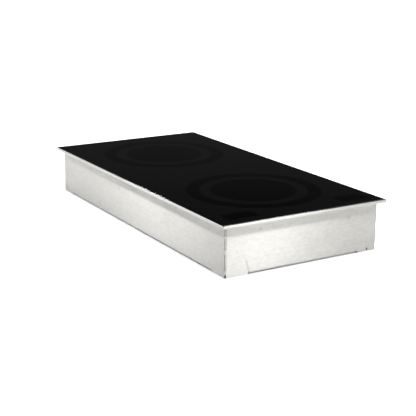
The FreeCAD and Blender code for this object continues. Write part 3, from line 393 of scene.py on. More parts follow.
@dataclass(frozen=True)
class WeldBead:
    """Dull stitch weld with a faint heat tint, and painted shade at the root of the seam.

    Attributes:
        base: Colour of the bead.
        tint: Heat tint.
        root: Near-black colour painted at the root of the seam as its shade.
        shaded_root_reach: Sum of the distances from the two middle planes at which the root ends, in
            millimetres.
        shaded_root_fade: Half width of the change from root to bead, in millimetres.
        roughness: Mean roughness.
        fine: Fine pattern repeats per metre.
        wide: Wide pattern repeats per metre.
    """

    base: Colour = (0.62, 0.615, 0.595)
    tint: Colour = (0.49, 0.475, 0.445)
    root: Colour = (0.07, 0.068, 0.066)
    shaded_root_reach: float = 512.0
    shaded_root_fade: float = 0.3
    roughness: float = 0.42
    fine: float = 900.0
    wide: float = 240.0

    def material(self, name: str) -> Material:
        """Build the material.

        Args:
            name: Name of the material.

        Returns:
            The material.
        """
        g = Graph.of_material(name)
        x, y, z = g.place()
        where = g.vector(x, y, z)
        mottle = g.noise(where, self.fine, 3.0, 0.6)
        wide = g.noise(where, self.wide, 2.0, 0.5)
        colour = g.blend(self.base, self.tint, g.ramp(wide * 0.6 + mottle * 0.4, 0.42, 0.62))
        # Painted shade: inside the reach, at the root of the seam, the bead is coloured near black for the
        # shade in the seam.
        start, full = (self.shaded_root_reach - self.shaded_root_fade) * MM, (self.shaded_root_reach + self.shaded_root_fade) * MM
        outer = g.ramp(abs(x) + abs(y), start, full)
        colour = g.blend(self.root, colour, outer)
        return g.surface(
            {"Metallic": 1.0},
            {
                "Base Color": colour,
                "Roughness": self.roughness + (mottle - 0.5) * 0.3,
                "Normal": g.bump(mottle, 0.00008, 0.6),
            },
        )


@dataclass(frozen=True)
class CeramicGlass:
    """Black ceramic glass with a fine dot print that leaves out a ring and a disc in each zone.

    Attributes:
        zone_y: Centre of each zone along Y, in millimetres.
        ring: Middle radius and width of the bare ring, in millimetres.
        disc: Radius of the bare disc, in millimetres.
        windows: Display windows as x from, x to, y from, y to, in millimetres.
        bare: Colour of the bare glass.
        dots: Colour of the dot print.
        pitch: Distance between dots, in millimetres.
        edge: Half width of the print's soft edges, in millimetres.
        roughness: Roughness of the clean glass.
        film: Wiping film on the glass, along x, y and z.
        wipe: Finer wiping streaks.
    """

    zone_y: Tuple[float, ...]
    ring: Pair = (118.0, 26.0)
    disc: float = 83.5
    windows: Tuple[Tuple[float, float, float, float], ...] = ()
    bare: Colour = (0.0006, 0.0006, 0.0007)
    dots: Colour = (0.0052, 0.0052, 0.0053)
    pitch: float = 1.6
    edge: float = 0.4
    roughness: float = 0.045
    film: NoiseLayer = NoiseLayer((7.0, 5.0, 1.0), 4.0, 0.6)
    wipe: NoiseLayer = NoiseLayer((60.0, 6.0, 1.0), 2.0, 0.5)

    def bare_share(self, g: Graph, x: Sock, y: Sock) -> Sock:
        """Where the print leaves the glass bare: a ring and a disc in each zone, and the windows.

        Args:
            g: The graph.
            x: Place in metres.
            y: Place in metres.

        Returns:
            1 on bare glass and 0 on printed glass.
        """
        edge = self.edge * MM
        middle, half = self.ring[0] * MM, self.ring[1] * MM / 2
        shapes = []
        for zone in self.zone_y:
            dy = y - zone * MM
            radius = g.math("SQRT", x * x + dy * dy)
            shapes.append(abs(radius - middle) - half)
            shapes.append(radius - self.disc * MM)
        for x0, x1, y0, y1 in self.windows:
            dx = abs(x - (x0 + x1) * MM / 2) - (x1 - x0) * MM / 2
            dy = abs(y - (y0 + y1) * MM / 2) - (y1 - y0) * MM / 2
            shapes.append(g.math("MAXIMUM", dx, dy))
        covered: Number = 0.0
        for outside in shapes:
            covered = 1.0 - g.ramp(outside, -edge, edge) + covered
        return g.math("MINIMUM", covered, 1.0)

    def material(self, name: str) -> Material:
        """Build the material.

        Args:
            name: Name of the material.

        Returns:
            The material.
        """
        g = Graph.of_material(name)
        x, y, z = g.place()
        printed = 1.0 - self.bare_share(g, x, y)
        turn = 2.0 * math.pi / (self.pitch * MM)
        lattice = g.math("SINE", x * turn) * g.math("SINE", y * turn)
        dot = g.ramp(lattice, 0.05, 0.35)
        colour = g.blend(self.bare, self.dots, printed * (dot * 0.85 + 0.15))
        film, wipe = self.film.value(g, x, y, z), self.wipe.value(g, x, y, z)
        rough = self.roughness + g.ramp(film, 0.45, 0.75) * 0.05 + (wipe - 0.5) * 0.02
        return g.surface({"IOR": 1.54, "Metallic": 0.0}, {"Base Color": colour, "Roughness": rough})


@dataclass(frozen=True)
class Speckled:
    """A plain material of two close colours with fine texture, for plastics, cast and cut metals and boards.

    Attributes:
        first: Main colour.
        second: Second colour.
        roughness: Mean roughness.
        metallic: 1 for a bare metal, 0 otherwise.
        fine: Fine pattern repeats per metre.
        wide: Wide pattern repeats per metre.
        depth: Height of the fine texture, in millimetres.
        coat: Weight of a clear coat.
    """

    first: Colour
    second: Colour
    roughness: float = 0.5
    metallic: float = 0.0
    fine: float = 900.0
    wide: float = 60.0
    depth: float = 0.02
    coat: float = 0.0

    def material(self, name: str) -> Material:
        """Build the material.

        Args:
            name: Name of the material.

        Returns:
            The material.
        """
        g = Graph.of_material(name)
        where = g.vector(*g.place())
        fine = g.noise(where, self.fine, 3.0, 0.6)
        wide = g.noise(where, self.wide, 3.0, 0.5)
        colour = g.blend(self.first, self.second, g.ramp(fine * 0.5 + wide * 0.5, 0.38, 0.64))
        rough = self.roughness + (wide - 0.5) * 0.16 + (fine - 0.5) * 0.10
        return g.surface(
            {"Metallic": self.metallic, "Coat Weight": self.coat, "Coat Roughness": 0.08},
            {"Base Color": colour, "Roughness": rough, "Normal": g.bump(fine, self.depth * MM, 0.5)},
        )


@dataclass(frozen=True)
class Spangled:
    """Galvanised sheet with large zinc crystals.

    Attributes:
        first: Colour of the darker crystals.
        second: Colour of the lighter crystals.
        crystals: Crystals per metre.
        fine: Fine pattern repeats per metre.
        roughness: Roughness of the smoothest crystals.
    """

    first: Colour = (0.54, 0.555, 0.57)
    second: Colour = (0.65, 0.665, 0.68)
    crystals: float = 140.0
    fine: float = 700.0
    roughness: float = 0.34

    def material(self, name: str) -> Material:
        """Build the material.

        Args:
            name: Name of the material.

        Returns:
            The material.
        """
        g = Graph.of_material(name)
        where = g.vector(*g.place())
        cells = g.node("ShaderNodeTexVoronoi", {"feature": "F1"}, {"Vector": where, "Scale": self.crystals})
        split = g.node("ShaderNodeSeparateColor", {}, {0: g.out(cells, "Color")})
        shade = g.out(split, 0)
        fine = g.noise(where, self.fine, 2.0, 0.5)
        colour = g.blend(self.first, self.second, shade * 0.8 + fine * 0.2)
        return g.surface(
            {"Metallic": 1.0},
            {
                "Base Color": colour,
                "Roughness": self.roughness + shade * 0.16 + (fine - 0.5) * 0.06,
                "Normal": g.bump(fine, 0.00002, 0.4),
            },
        )


@dataclass(frozen=True)
class Strands:
    """Twisted or laid wire: thin dark joints between bright strands.

    Attributes:
        bright: Colour of a strand.
        joint: Colour between strands.
        pitch: Distance between joints, in millimetres.
        radius: Radius at which the pitch holds round the axis, in millimetres.
        lean: Sideways lay of the strands per unit of height.
        roughness: Roughness of a strand.
    """

    bright: Colour = (0.62, 0.27, 0.10)
    joint: Colour = (0.20, 0.07, 0.03)
    pitch: float = 0.7
    radius: float = 110.0
    lean: float = 1.4
    roughness: float = 0.32

    def material(self, name: str) -> Material:
        """Build the material.

        Args:
            name: Name of the material.

        Returns:
            The material.
        """
        g = Graph.of_material(name)
        x, y, z = g.place()
        around = g.math("ARCTAN2", y, x) * (self.radius * MM)
        wave = g.math("SINE", (around + z * self.lean) * (2.0 * math.pi / (self.pitch * MM)))
        fine = g.noise(g.vector(x, y, z), 1200.0, 2.0, 0.5)
        lay = g.ramp(wave + (fine - 0.5) * 0.6, -0.9, 0.1)
        return g.surface(
            {"Metallic": 1.0},
            {
                "Base Color": g.blend(self.joint, self.bright, lay),
                "Roughness": self.roughness + (1.0 - lay) * 0.2,
                "Normal": g.bump(lay, 0.0001, 0.6),
            },
        )


@dataclass(frozen=True)
class BoardLacquer:
    """Circuit board with green lacquer over tinned tracks.

    Attributes:
        lacquer: Colour of the lacquer.
        track: Colour over the tracks.
        pitch: Distance between tracks, in millimetres.
        bend: How far the tracks wander, in millimetres.
        regions: Changes of direction per metre.
        roughness: Roughness of the lacquer between tracks.
    """

    lacquer: Colour = (0.010, 0.085, 0.035)
    track: Colour = (0.020, 0.160, 0.060)
    pitch: float = 4.0
    bend: float = 20.0
    regions: float = 26.0
    roughness: float = 0.42

    def material(self, name: str) -> Material:
        """Build the material.

        Args:
            name: Name of the material.

        Returns:
            The material.
        """
        g = Graph.of_material(name)
        x, y, z = g.place()
        bend = g.noise(g.vector(x, y, 0.0), 18.0, 1.0, 0.5) * (self.bend * MM)
        turn = 2.0 * math.pi / (self.pitch * MM)
        runs = g.math("SINE", (x + bend) * turn)
        cross = g.math("SINE", (y + bend) * turn)
        region = g.ramp(g.noise(g.vector(x, y, z), self.regions, 0.0, 0.5), 0.48, 0.50)
        lines = g.ramp(runs * region + cross * (1.0 - region), 0.15, 0.35)
        return g.surface(
            {"Metallic": 0.0, "Coat Weight": 0.5, "Coat Roughness": 0.15},
            {
                "Base Color": g.blend(self.lacquer, self.track, lines),
                "Roughness": self.roughness - lines * 0.08,
                "Normal": g.bump(lines, 0.00004, 0.5),
            },
        )


# --- mesh helpers ------------------------------
def grid_faces(rows: int, columns: int, wrap: bool) -> np.ndarray:
    """Quads of a grid of rows by columns of points, in row order.

    Args:
        rows: Points along the first parameter.
        columns: Points along the second parameter.
        wrap: Whether the last column joins the first.

    Returns:
        One row of four point numbers for each quad.
    """
    i, j = np.meshgrid(np.arange(rows - 1), np.arange(columns if wrap else columns - 1), indexing="ij")
    k = (j + 1) % columns
    this_row, next_row = i * columns, (i + 1) * columns
    return np.stack([this_row + j, this_row + k, next_row + k, next_row + j], axis=-1).reshape(-1, 4)


def make_piece(name: str, points: np.ndarray, faces: List[List[int]], smooth: bool = True) -> Object:
    """Put points and faces into a new object at the origin.

    Args:
        name: Name of the piece.
        points: Points in metres, one per row.
        faces: Point numbers of each face, counter-clockwise from outside.
        smooth: Whether faces are shaded smooth.

    Returns:
        The object.
    """
    mesh = bpy.data.meshes.new(name)
    mesh.from_pydata(points.tolist(), [], faces)
    mesh.polygons.foreach_set("use_smooth", np.full(len(mesh.polygons), smooth))
    mesh.update()
    piece = bpy.data.objects.new(name, mesh)
    bpy.context.scene.collection.objects.link(piece)
    return piece


def stack_grids(grids: Sequence[np.ndarray]) -> Tuple[np.ndarray, List[List[int]]]:
    """Join closed tubes into one mesh, each capped at both ends.

    A grid holds rows by columns of points, with every row a closed loop that runs counter-clockwise
    when seen from the far end, so that quads and caps face outwards.

    Args:
        grids: Arrays of rows by columns by 3.

    Returns:
        All points and all faces.
    """
    points, faces, start = [], [], 0
    for grid in grids:
        rows, columns, _ = grid.shape
        points.append(grid.reshape(-1, 3))
        faces += (grid_faces(rows, columns, True) + start).tolist()
        faces.append((start + np.arange(columns)[::-1]).tolist())
        faces.append((start + (rows - 1) * columns + np.arange(columns)).tolist())
        start += rows * columns
    return np.concatenate(points), faces


def dress(piece: Object, material: Material) -> None:
    """Give a piece or a CAD node one material in all its slots.

    Args:
        piece: The piece or node.
        material: The material.
    """
    if not piece.material_slots:
        piece.data.materials.append(material)
    for slot in piece.material_slots:
        slot.material = material


# --- sub-assemblies -----------------------------------------------------------------------------
@dataclass
class GlassPlate:
    """The ceramic glass with its ground and polished edge.

    Attributes:
        corner: Corner radius.
        edge: Height and depth of the rounded edge.
        corner_steps: Points round each corner.
        edge_steps: Rows over the rounded edge.
        finish: The printed glass.
    """

    corner: float = 1.6 * MM
    edge: float = 1.15 * MM
    corner_steps: int = 8
    edge_steps: int = 6
    finish: CeramicGlass = CeramicGlass(
        zone_y=(-180.0, 180.0),
        windows=((-150.0, -87.0, -334.0, -300.0), (96.0, 156.0, -334.0, -300.0)),
    )

    def build(self) -> Object:
        """Build the plate.

        Each row is a rounded rectangle: a circle of the corner radius cut in four and moved out to the
        corners. Up the side the rows are equal. Over the edge a row moves in by 1 - cos and up by sin of
        a quarter turn, which rounds the edge. The first and last rows are closed with flat faces.

        Returns:
            The plate.
        """
        low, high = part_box("glass_top")
        turn = np.linspace(0.0, math.pi / 2, self.edge_steps)
        inset = np.concatenate([[0.0], self.edge * (1.0 - np.cos(turn))])
        level = np.concatenate([[low.z], high.z - self.edge + self.edge * np.sin(turn)])
        quarter = np.linspace(0.0, math.pi / 2, self.corner_steps)
        angle = (quarter[None, :] + np.arange(4)[:, None] * math.pi / 2).ravel()
        side_x = np.repeat([1.0, -1.0, -1.0, 1.0], self.corner_steps)
        side_y = np.repeat([1.0, 1.0, -1.0, -1.0], self.corner_steps)
        radius = self.corner - inset[:, None]
        x = side_x * (high.x - self.corner) + radius * np.cos(angle)
        y = side_y * (high.y - self.corner) + radius * np.sin(angle)
        z = np.repeat(level[:, None], angle.size, axis=1)
        points, faces = stack_grids([np.stack([x, y, z], axis=-1)])
        plate = make_piece("glass_plate", points, faces)
        flat = np.full(len(plate.data.polygons), True)
        flat[-2:] = False
        plate.data.polygons.foreach_set("use_smooth", flat)
        return plate

    def dress(self) -> Object:
        """Build the plate, give it its finish and put it in the CAD node's place.

        Returns:
            The plate.
        """
        plate = self.build()
        dress(plate, self.finish.material("printed_ceramic_glass"))
        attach(plate, "housing")
        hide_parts("glass_top")
        return plate


@dataclass(frozen=True)
class BeadShape:
    """Cross-section of a bead and its place in the seam.

    Attributes:
        inset: Distance of the bead's middle inside the outermost weld, along x and along y.
        half_width: Half width along the seam's face.
        half_height: Half height away from the seam.
        rise: Share by which a ripple swells the bead.
    """

    inset: Pair
    half_width: float
    half_height: float
    rise: float


@dataclass
class StitchWelds:
    """The rippled beads that close the corner seams of the box.

    Attributes:
        spans: Lower and upper end of each bead.
        stitch: Shape of the beads on the outside.
        root_span: Lower and upper end of the run at the root of the seam.
        root: Shape of the run at the root.
        ripple: Distance between ripples.
        bow: How far the crest of a ripple bows, as a share of the ripple.
        blunt: Power of the superellipse at the ends.
        tip: Share of the section that is left at the ends.
        rows: Rows along a bead.
        columns: Points round a bead.
    """

    spans: Tuple[Pair, ...] = ((5.9, 14.2), (42.3, 52.0), (72.1, 77.6))
    stitch: BeadShape = BeadShape((1.40 * MM, 1.15 * MM), 1.50 * MM, 0.80 * MM, 0.16)
    root_span: Pair = (5.0, 91.0)
    root: BeadShape = BeadShape((2.20 * MM, 2.40 * MM), 1.25 * MM, 0.80 * MM, 0.04)
    ripple: float = 1.15 * MM
    bow: float = 0.35
    blunt: float = 6.0
    tip: float = 0.03
    rows: int = 60
    columns: int = 20

    def bead(self, corner: Tuple[int, int], span: Pair, shape: BeadShape) -> np.ndarray:
        """Points of one bead.

        A row is an ellipse across the corner. Towards both ends it shrinks like the side of a
        superellipse, and between them it swells with a saw-shaped ripple whose crest bows downwards.

        Args:
            corner: Signs of x and y at this corner.
            span: Lower and upper end, in millimetres.
            shape: Cross-section and place.

        Returns:
            Rows by columns by 3 points.
        """
        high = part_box("corner_welds")[1]
        sx, sy = corner
        u = np.linspace(-1.0, 1.0, self.rows)[:, None]
        v = np.linspace(0.0, 2.0 * math.pi, self.columns, endpoint=False)[None, :]
        height = (span[0] + span[1]) / 2 * MM + u * (span[1] - span[0]) / 2 * MM
        taper = np.sqrt(np.maximum(1.0 - np.abs(u) ** self.blunt, 0.0)) * (1.0 - self.tip) + self.tip
        phase = (height / self.ripple + self.bow * np.cos(v)) % 1.0
        swell = 1.0 + shape.rise * (1.0 - phase) * np.abs(np.sin(v))
        across = shape.half_width * taper * np.cos(v)
        outward = shape.half_height * taper * swell * np.sin(v)
        diagonal = math.sqrt(0.5)
        x = sx * (high.x - shape.inset[0] + diagonal * (outward - across))
        y = sy * (high.y - shape.inset[1] + diagonal * (outward + across))
        grid = np.stack([x, y, np.broadcast_to(height, x.shape)], axis=-1)
        return grid if sx * sy > 0 else grid[:, ::-1, :]

    def dress(self) -> Object:
        """Build all beads as one piece and give it its finish.

        Returns:
            The beads.
        """
        corners = [(sx, sy) for sx in (-1, 1) for sy in (-1, 1)]
        runs = [(span, self.stitch) for span in self.spans] + [(self.root_span, self.root)]
        points, faces = stack_grids([self.bead(corner, *run) for corner in corners for run in runs])
        beads = make_piece("stitch_weld_beads", points, faces)
        dress(beads, WeldBead().material("weld_bead_with_painted_root_shade"))
        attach(beads, "housing")
        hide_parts("corner_welds")
        return beads


@dataclass
class CoverScrews:
    """Low domed heads with a cross recess, under the base cover.

    Attributes:
        radius: Head radius.
        dome: Height of the dome.
        fall: Share of the dome's height that is lost at its rim.
        arm: Half width of a recess arm.
        reach: Length of a recess arm.
        depth: Depth of the recess.
        slope: Widths of the slopes beside an arm and at its end.
        side: Places along the side walls, in millimetres.
        end: Places along the end walls, in millimetres.
        rows: Rows from the rim to the middle.
        columns: Points round a head.
        finish: The zinc-plated steel.
    """

    radius: float = 4.0 * MM
    dome: float = 0.9 * MM
    fall: float = 0.75
    arm: float = 0.55 * MM
    reach: float = 2.3 * MM
    depth: float = 0.7 * MM
    slope: Pair = (0.25 * MM, 0.3 * MM)
    side: Tuple[float, ...] = (-270.0, -90.0, 90.0, 270.0)
    end: Tuple[float, ...] = (-80.0, 80.0)
    rows: int = 26
    columns: int = 64
    finish: Speckled = Speckled((0.62, 0.62, 0.60), (0.74, 0.72, 0.66), 0.28, 1.0, 1500.0, 200.0)

    def head(self, x: float, y: float, seat: float) -> np.ndarray:
        """Points of one head, facing down.

        In polar steps, the depth follows a flat dome. Where the nearest of the two crossed arms is
        closer than its half width, a smooth step sinks the surface to the recess floor.

        Args:
            x: Place of the screw.
            y: Place of the screw.
            seat: Height of the face that the head rests on.

        Returns:
            Rows by columns by 3 points, from the seat to the middle of the head.
        """
        share = np.concatenate([[1.0], np.linspace(1.0, 0.02, self.rows)])[:, None]
        angle = np.linspace(0.0, 2.0 * math.pi, self.columns, endpoint=False)[None, :]
        px, py = self.radius * share * np.cos(angle), self.radius * share * np.sin(angle)
        drop = self.dome * (1.0 - self.fall * share ** 4)
        drop[0] = 0.0
        away = np.minimum(np.abs(px), np.abs(py))
        inside = np.clip((self.arm - away) / self.slope[0] + 0.5, 0.0, 1.0)
        inside = inside * np.clip((self.reach - np.hypot(px, py)) / self.slope[1] + 0.5, 0.0, 1.0)
        z = seat - drop + self.depth * inside
        grid = np.stack([x + px, y + py, z], axis=-1)
        return grid[:, ::-1, :]

    def dress(self) -> Object:
        """Build all heads as one piece and give it its finish.

        Returns:
            The heads.
        """
        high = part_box("cover_screws")[1]
        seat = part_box("base_cover")[0].z
        edge_x, edge_y = high.x - self.radius, high.y - self.radius
        spots = [(s * edge_x, y * MM) for s in (-1, 1) for y in self.side]
        spots += [(x * MM, s * edge_y) for s in (-1, 1) for x in self.end]
        points, faces = stack_grids([self.head(x, y, seat) for x, y in spots])
        heads = make_piece("cover_screw_heads", points, faces)
        dress(heads, self.finish.material("zinc_head"))
        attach(heads, "housing")
        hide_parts("cover_screws")
        return heads


@dataclass
class GlandCap:
    """The ribbed cap of the cable gland.

    Attributes:
        ribs: Number of grip ribs.
        rib: Height of a rib.
        sharp: How steep the sides of a rib are.
        bore: Radius of the cable hole.
        draft: How much the side narrows towards the shoulder.
        shoulder: Radius of the rounded shoulder.
        rows: Rows along the side, and as many over the shoulder.
        columns: Points round the cap.
        finish: The moulded nylon.
    """

    ribs: int = 18
    rib: float = 0.45 * MM
    sharp: float = 2.5
    bore: float = 6.5 * MM
    draft: float = 0.8 * MM
    shoulder: float = 2.2 * MM
    rows: int = 7
    columns: int = 180
    finish: Speckled = Speckled((0.09, 0.095, 0.10), (0.12, 0.125, 0.13), 0.5, 0.0, 1500.0, 120.0)

    def dress(self) -> Object:
        """Build the cap and give it its finish.

        The profile runs round the wall of the cap: out along the base, along the ribbed side, over a
        rounded shoulder and back down the bore. It is turned about the gland's axis, and the ribs add a
        rounded square wave to the radius on the side only.

        Returns:
            The cap.
        """
        low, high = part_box("gland_cap")
        centre_x, centre_z = (low.x + high.x) / 2, (low.z + high.z) / 2
        outer = (high.x - low.x) / 2 - self.rib
        length = high.y - low.y
        side_end = length - self.shoulder
        turn = np.linspace(0.0, math.pi / 2, self.rows)
        radius = np.concatenate([
            [self.bore, outer],
            np.linspace(outer, outer - self.draft, self.rows),
            outer - self.draft - self.shoulder * (1.0 - np.cos(turn)),
            [self.bore, self.bore],
        ])
        along = np.concatenate([
            [0.0, 0.0],
            np.linspace(0.0, side_end, self.rows),
            side_end + self.shoulder * np.sin(turn),
            [length, 0.0],
        ])
        ribbed = np.concatenate([[0.0, 0.0], np.ones(self.rows), np.cos(turn), [0.0, 0.0]])
        angle = np.linspace(0.0, 2.0 * math.pi, self.columns, endpoint=False)[None, :]
        wave = np.clip(np.sin(self.ribs * angle) * self.sharp, -1.0, 1.0) * 0.5 + 0.5
        spread = radius[:, None] + self.rib * ribbed[:, None] * wave
        x = centre_x + spread * np.cos(angle)
        z = centre_z + spread * np.sin(angle)
        y = np.broadcast_to(low.y + along[:, None], x.shape)
        grid = np.stack([x, y, z], axis=-1)[:, ::-1, :]
        faces = grid_faces(*grid.shape[:2], True).tolist()
        cap = make_piece("gland_cap_ribbed", grid.reshape(-1, 3), faces)
        dress(cap, self.finish.material("gland_nylon"))
        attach(cap, "housing")
        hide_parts("gland_cap")
        return cap


@dataclass
class Walls:
    """The four brushed walls with their rims. They keep the CAD shapes.

    Attributes:
        cut_end: Distance from the middle to the cut edges of the side walls, in millimetres.
    """

    cut_end: float = 346.2

    def finishes(self) -> Dict[str, BrushedSteel]:
        """Brushed steel of each wall.

        Returns:
            Finishes by node name.
        """
        return {
            "panel_front": BrushedSteel(
                Grain.ALONG_X,
                (Mark(-94.3, 80.3, 4.2, 0.5), Mark(100.6, 72.3, 5.4, 0.4), Mark(30.0, 40.0, 3.0, 0.2)),
                Crease(-117.8, 5.7, 0.28, 30.0),
            ),
            "panel_left": BrushedSteel(
                Grain.ALONG_Y,
                (
                    # A wide, soft darkening low at the rear end of this wall.
                    Mark(334.0, 10.0, 17.0, 0.25),
                    Mark(64.0, 68.4, 4.0, 0.7),
                    Mark(1.0, 81.0, 3.8, 0.5),
                    Mark(160.0, 14.3, 4.4, 0.6),
                    Mark(85.5, 24.6, 3.6, 0.5),
                ),
                cut_end=self.cut_end,
                roughness=0.42,
            ),
            "panel_right": BrushedSteel(
                Grain.ALONG_Y,
                (Mark(-250.0, 52.0, 3.2, 0.5), Mark(0.0, 52.0, 3.0, 0.5), Mark(250.0, 52.0, 3.4, 0.5)),
                cut_end=self.cut_end,
            ),
            "panel_rear": BrushedSteel(
                Grain.ALONG_X,
                (Mark(-60.0, 74.0, 4.0, 0.4), Mark(130.0, 70.0, 3.0, 0.4)),
            ),
        }

    def dress(self) -> List[Object]:
        """Give each wall its own brushed steel.

        Returns:
            The walls.
        """
        walls = []
        for node, finish in self.finishes().items():
            wall = frame["nodes"][node]
            dress(wall, finish.material("brushed_" + node))
            walls.append(wall)
        return walls


@dataclass
class InnerWorks:
    """Every other CAD node, each with a procedural finish chosen by its material slot.

    Attributes:
        done: Nodes that another class has dressed or replaced.
    """

    done: Tuple[str, ...] = ()

    def finishes(self) -> Dict[str, Any]:
        """Finish of each material slot in the record.

        Returns:
            Finishes by slot name.
        """
        speckled = {
            "silicone": ((0.012, 0.012, 0.012), (0.020, 0.020, 0.020), 0.55, 0.0, 1400.0, 90.0, 0.03),
            "zinc_screw": ((0.62, 0.62, 0.60), (0.74, 0.72, 0.66), 0.30, 1.0, 1500.0, 200.0),
            "aluminium": ((0.70, 0.71, 0.72), (0.80, 0.80, 0.81), 0.38, 1.0, 1200.0, 30.0),
            "ferrite": ((0.030, 0.030, 0.032), (0.055, 0.055, 0.058), 0.6, 0.0, 2200.0, 150.0, 0.04),
            "mica": ((0.62, 0.57, 0.44), (0.76, 0.72, 0.62), 0.7, 0.0, 1100.0, 45.0, 0.06),
            "moulded_carrier": ((0.050, 0.042, 0.036), (0.075, 0.064, 0.055), 0.55, 0.0, 1600.0, 80.0),
            "spring_steel": ((0.42, 0.42, 0.43), (0.55, 0.55, 0.56), 0.3, 1.0, 2000.0, 300.0),
            "sensor_cap": ((0.74, 0.72, 0.68), (0.84, 0.83, 0.80), 0.35, 1.0, 1500.0, 200.0),
            "black_component": ((0.015, 0.015, 0.016), (0.030, 0.030, 0.031), 0.4, 0.0, 2400.0, 90.0),
            "film_capacitor": ((0.50, 0.50, 0.48), (0.58, 0.58, 0.56), 0.35, 0.0, 900.0, 40.0, 0.01, 0.3),
            "relay_case": ((0.72, 0.26, 0.030), (0.80, 0.31, 0.045), 0.3, 0.0, 900.0, 60.0, 0.01, 0.4),
            "display_lens": ((0.060, 0.004, 0.004), (0.10, 0.010, 0.008), 0.25, 0.0, 900.0, 60.0, 0.01, 0.6),
            "blower_plastic": ((0.018, 0.018, 0.019), (0.032, 0.032, 0.034), 0.5, 0.0, 1700.0, 70.0, 0.03),
            "motor_core": ((0.20, 0.20, 0.21), (0.32, 0.32, 0.33), 0.42, 1.0, 1500.0, 260.0),
            "lead_insulation": ((0.24, 0.030, 0.016), (0.32, 0.045, 0.024), 0.45, 0.0, 1300.0, 60.0),
            "terminal_plastic": ((0.56, 0.56, 0.52), (0.64, 0.64, 0.60), 0.5, 0.0, 1300.0, 60.0),
            "brass_contact": ((0.66, 0.44, 0.14), (0.76, 0.56, 0.24), 0.3, 1.0, 1800.0, 240.0),
            "gland_plastic": ((0.09, 0.095, 0.10), (0.12, 0.125, 0.13), 0.5, 0.0, 1500.0, 120.0),
            "socket_shell": ((0.44, 0.43, 0.41), (0.54, 0.53, 0.51), 0.36, 1.0, 1700.0, 200.0),
        }
        return {
            **{slot: Speckled(*values) for slot, values in speckled.items()},
            "galvanised": Spangled(),
            "litz": Strands(),
            "coil_wire": Strands(pitch=1.2),
            "circuit_board": BoardLacquer(),
        }

    def dress(self) -> List[Object]:
        """Dress every node that is left.

        Returns:
            The dressed nodes.
        """
        finishes = self.finishes()
        slot_of = {part["node"]: part["material_slot"] for part in frame["record"]["subparts"]}
        made: Dict[str, Material] = {}
        dressed = []
        for node, piece in frame["nodes"].items():
            slot = slot_of[node]
            if node in self.done or slot not in finishes:
                continue
            if slot not in made:
                made[slot] = finishes[slot].material("finish_" + slot)
            dress(piece, made[slot])
            dressed.append(piece)
        return dressed


# --- studio ------------------------------
@dataclass
class Softbox:
    """One soft lamp, aimed at the cooktop.

    Attributes:
        name: Name of the lamp.
        toward: Direction from the cooktop to the lamp.
        distance: Distance from the cooktop.
        width: Width of the lamp's face.
        height: Height of the lamp's face.
        power: Power in watts.
        target: Point that it is aimed at.
    """

    name: str
    toward: Triple
    distance: float
    width: float
    height: float
    power: float
    target: Triple = (0.0, 0.0, 0.05)

    def build(self) -> Object:
        """Build the lamp.

        Returns:
            The lamp.
        """
        light = bpy.data.lights.new(self.name, "AREA")
        light.shape = "RECTANGLE"
        light.size = self.width
        light.size_y = self.height
        light.energy = self.power
        lamp = bpy.data.objects.new(self.name, light)
        direction = Vector(self.toward).normalized()
        lamp.location = Vector(self.target) + direction * self.distance
        lamp.rotation_euler = direction.to_track_quat("Z", "Y").to_euler()
        bpy.context.scene.collection.objects.link(lamp)
        return lamp


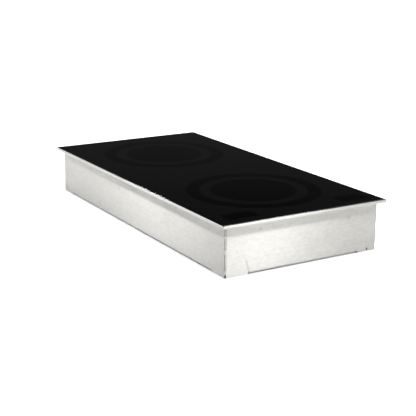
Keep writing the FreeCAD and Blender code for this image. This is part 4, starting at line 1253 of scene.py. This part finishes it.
@dataclass
class Studio:
    """Floor, lamps, world and camera.

    Attributes:
        floor_half: Half width of the floor.
        floor_lines: Points along each side of the floor's grid.
        floor_shades: Darkest and palest colour of the floor.
        camera_at: Place of the camera.
        heading: Camera heading from +Y towards +X, in degrees.
        pitch: Angle below the horizontal, in degrees.
        roll: Roll, in degrees.
        lens: Focal length in millimetres.
        sensor: Width of the sensor in millimetres.
        world: Brightness of the surroundings at the horizon.
        dark_above: Elevation in degrees above which the surroundings are dark.
        light_below: Elevation in degrees below which they are at full brightness.
        sky: Strength of the broad overhead light.
        sky_angle: Width of the overhead light, in degrees.
        boxes: The soft lamps.
    """

    floor_half: float = 30.0
    floor_lines: int = 9
    floor_shades: Tuple[Colour, Colour] = ((0.90, 0.90, 0.90), (0.94, 0.94, 0.94))
    camera_at: Triple = (-1.0474, -1.7503, 0.5957)
    heading: float = 31.061
    pitch: float = 15.789
    roll: float = 0.471
    lens: float = 87.5
    sensor: float = 36.0
    world: float = 0.038
    dark_above: float = 20.0
    light_below: float = 8.0
    sky: float = 5.15
    sky_angle: float = 100.0
    boxes: Tuple[Softbox, ...] = (
        Softbox("softbox_front_right", (0.465, -0.535, 0.705), 2.42, 0.3, 0.3, 14.0),
        Softbox("softbox_back_left", (-0.342, 0.804, 0.487), 2.30, 0.12, 0.25, 10.5),
        Softbox("strip_back_left", (-0.303, 0.857, 0.418), 2.51, 0.4, 0.8, 1.7),
        Softbox("fill_front", (0.602, -0.771, 0.208), 2.4, 1.2, 0.5, 1.8),
        Softbox("fill_front_left", (0.442, -0.876, 0.192), 2.54, 0.3, 0.5, 2.8),
        Softbox("fill_back_left", (-0.444, 0.871, 0.208), 2.4, 1.0, 0.5, 1.0),
    )

    def floor(self) -> Object:
        """Build the pale floor as a fine grid with its height constant, and give it a plain finish.

        Returns:
            The floor.
        """
        steps = np.linspace(-self.floor_half, self.floor_half, self.floor_lines)
        x, y = np.meshgrid(steps, steps, indexing="ij")
        points = np.stack([x, y, np.zeros_like(x)], axis=-1).reshape(-1, 3)
        faces = grid_faces(self.floor_lines, self.floor_lines, False)[:, ::-1].tolist()
        floor = make_piece("floor", points, faces, False)
        g = Graph.of_material("pale_floor")
        soft = g.noise(g.vector(*g.place()), 3.0, 2.0, 0.5)
        shade = g.blend(*self.floor_shades, soft)
        dress(floor, g.surface({"Roughness": 0.9, "Specular IOR Level": 0.0}, {"Base Color": shade}))
        return floor

    def camera(self) -> Object:
        """Build the camera from its heading, pitch and roll.

        Returns:
            The camera.
        """
        heading, pitch, roll = (math.radians(a) for a in (self.heading, self.pitch, self.roll))
        level = math.cos(pitch)
        ahead = Vector((math.sin(heading) * level, math.cos(heading) * level, -math.sin(pitch)))
        right = Vector((math.cos(heading), -math.sin(heading), 0.0))
        up = right.cross(ahead)
        right, up = (
            right * math.cos(roll) + up * math.sin(roll),
            up * math.cos(roll) - right * math.sin(roll),
        )
        data = bpy.data.cameras.new("camera")
        data.lens = self.lens
        data.sensor_width = self.sensor
        camera = bpy.data.objects.new("camera", data)
        turn = Matrix((right, up, -ahead)).transposed().to_4x4()
        camera.matrix_world = Matrix.Translation(self.camera_at) @ turn
        bpy.context.scene.collection.objects.link(camera)
        bpy.context.scene.camera = camera
        return camera

    def surroundings(self) -> bpy.types.World:
        """Build the surroundings: white, with a strength that fades smoothly from low to high.

        Returns:
            The world.
        """
        g = Graph(bpy.data.worlds.new("surroundings"))
        height = g.split(g.out(g.node("ShaderNodeTexCoord", {}, {}), "Generated"))[2]
        above, below = (math.sin(math.radians(a)) for a in (self.dark_above, self.light_below))
        strength = g.ramp(height, above, below) * self.world
        glow = g.node("ShaderNodeBackground", {}, {"Color": (1.0, 1.0, 1.0, 1.0), "Strength": strength})
        g.node("ShaderNodeOutputWorld", {}, {"Surface": g.out(glow)})
        return g.owner

    def build(self) -> List[Object]:
        """Build the whole studio.

        Returns:
            Its objects.
        """
        scene = bpy.context.scene
        scene.view_settings.view_transform = "Standard"
        scene.world = self.surroundings()
        sky = bpy.data.lights.new("overhead", "SUN")
        sky.energy = self.sky
        sky.angle = math.radians(self.sky_angle)
        lamp = bpy.data.objects.new("overhead", sky)
        scene.collection.objects.link(lamp)
        return [self.floor(), self.camera(), lamp] + [box.build() for box in self.boxes]


def main() -> None:
    """Build and dress the cooktop and its studio, and report each piece."""
    logging.basicConfig(level=logging.INFO, format="%(name)s: %(message)s")
    studio = Studio().build()
    LOG.info("studio: %s", ", ".join(item.name for item in studio))
    for part in (GlassPlate(), StitchWelds(), CoverScrews(), GlandCap()):
        piece = part.dress()
        LOG.info("%s: %d faces", piece.name, len(piece.data.polygons))
    walls = Walls().dress()
    LOG.info("walls: %s", ", ".join(wall.name for wall in walls))
    done = ("glass_top", "corner_welds", "cover_screws", "gland_cap") + tuple(wall.name for wall in walls)
    inner = InnerWorks(done).dress()
    LOG.info("other nodes dressed: %d", len(inner))


if __name__ == "__main__":
    main()
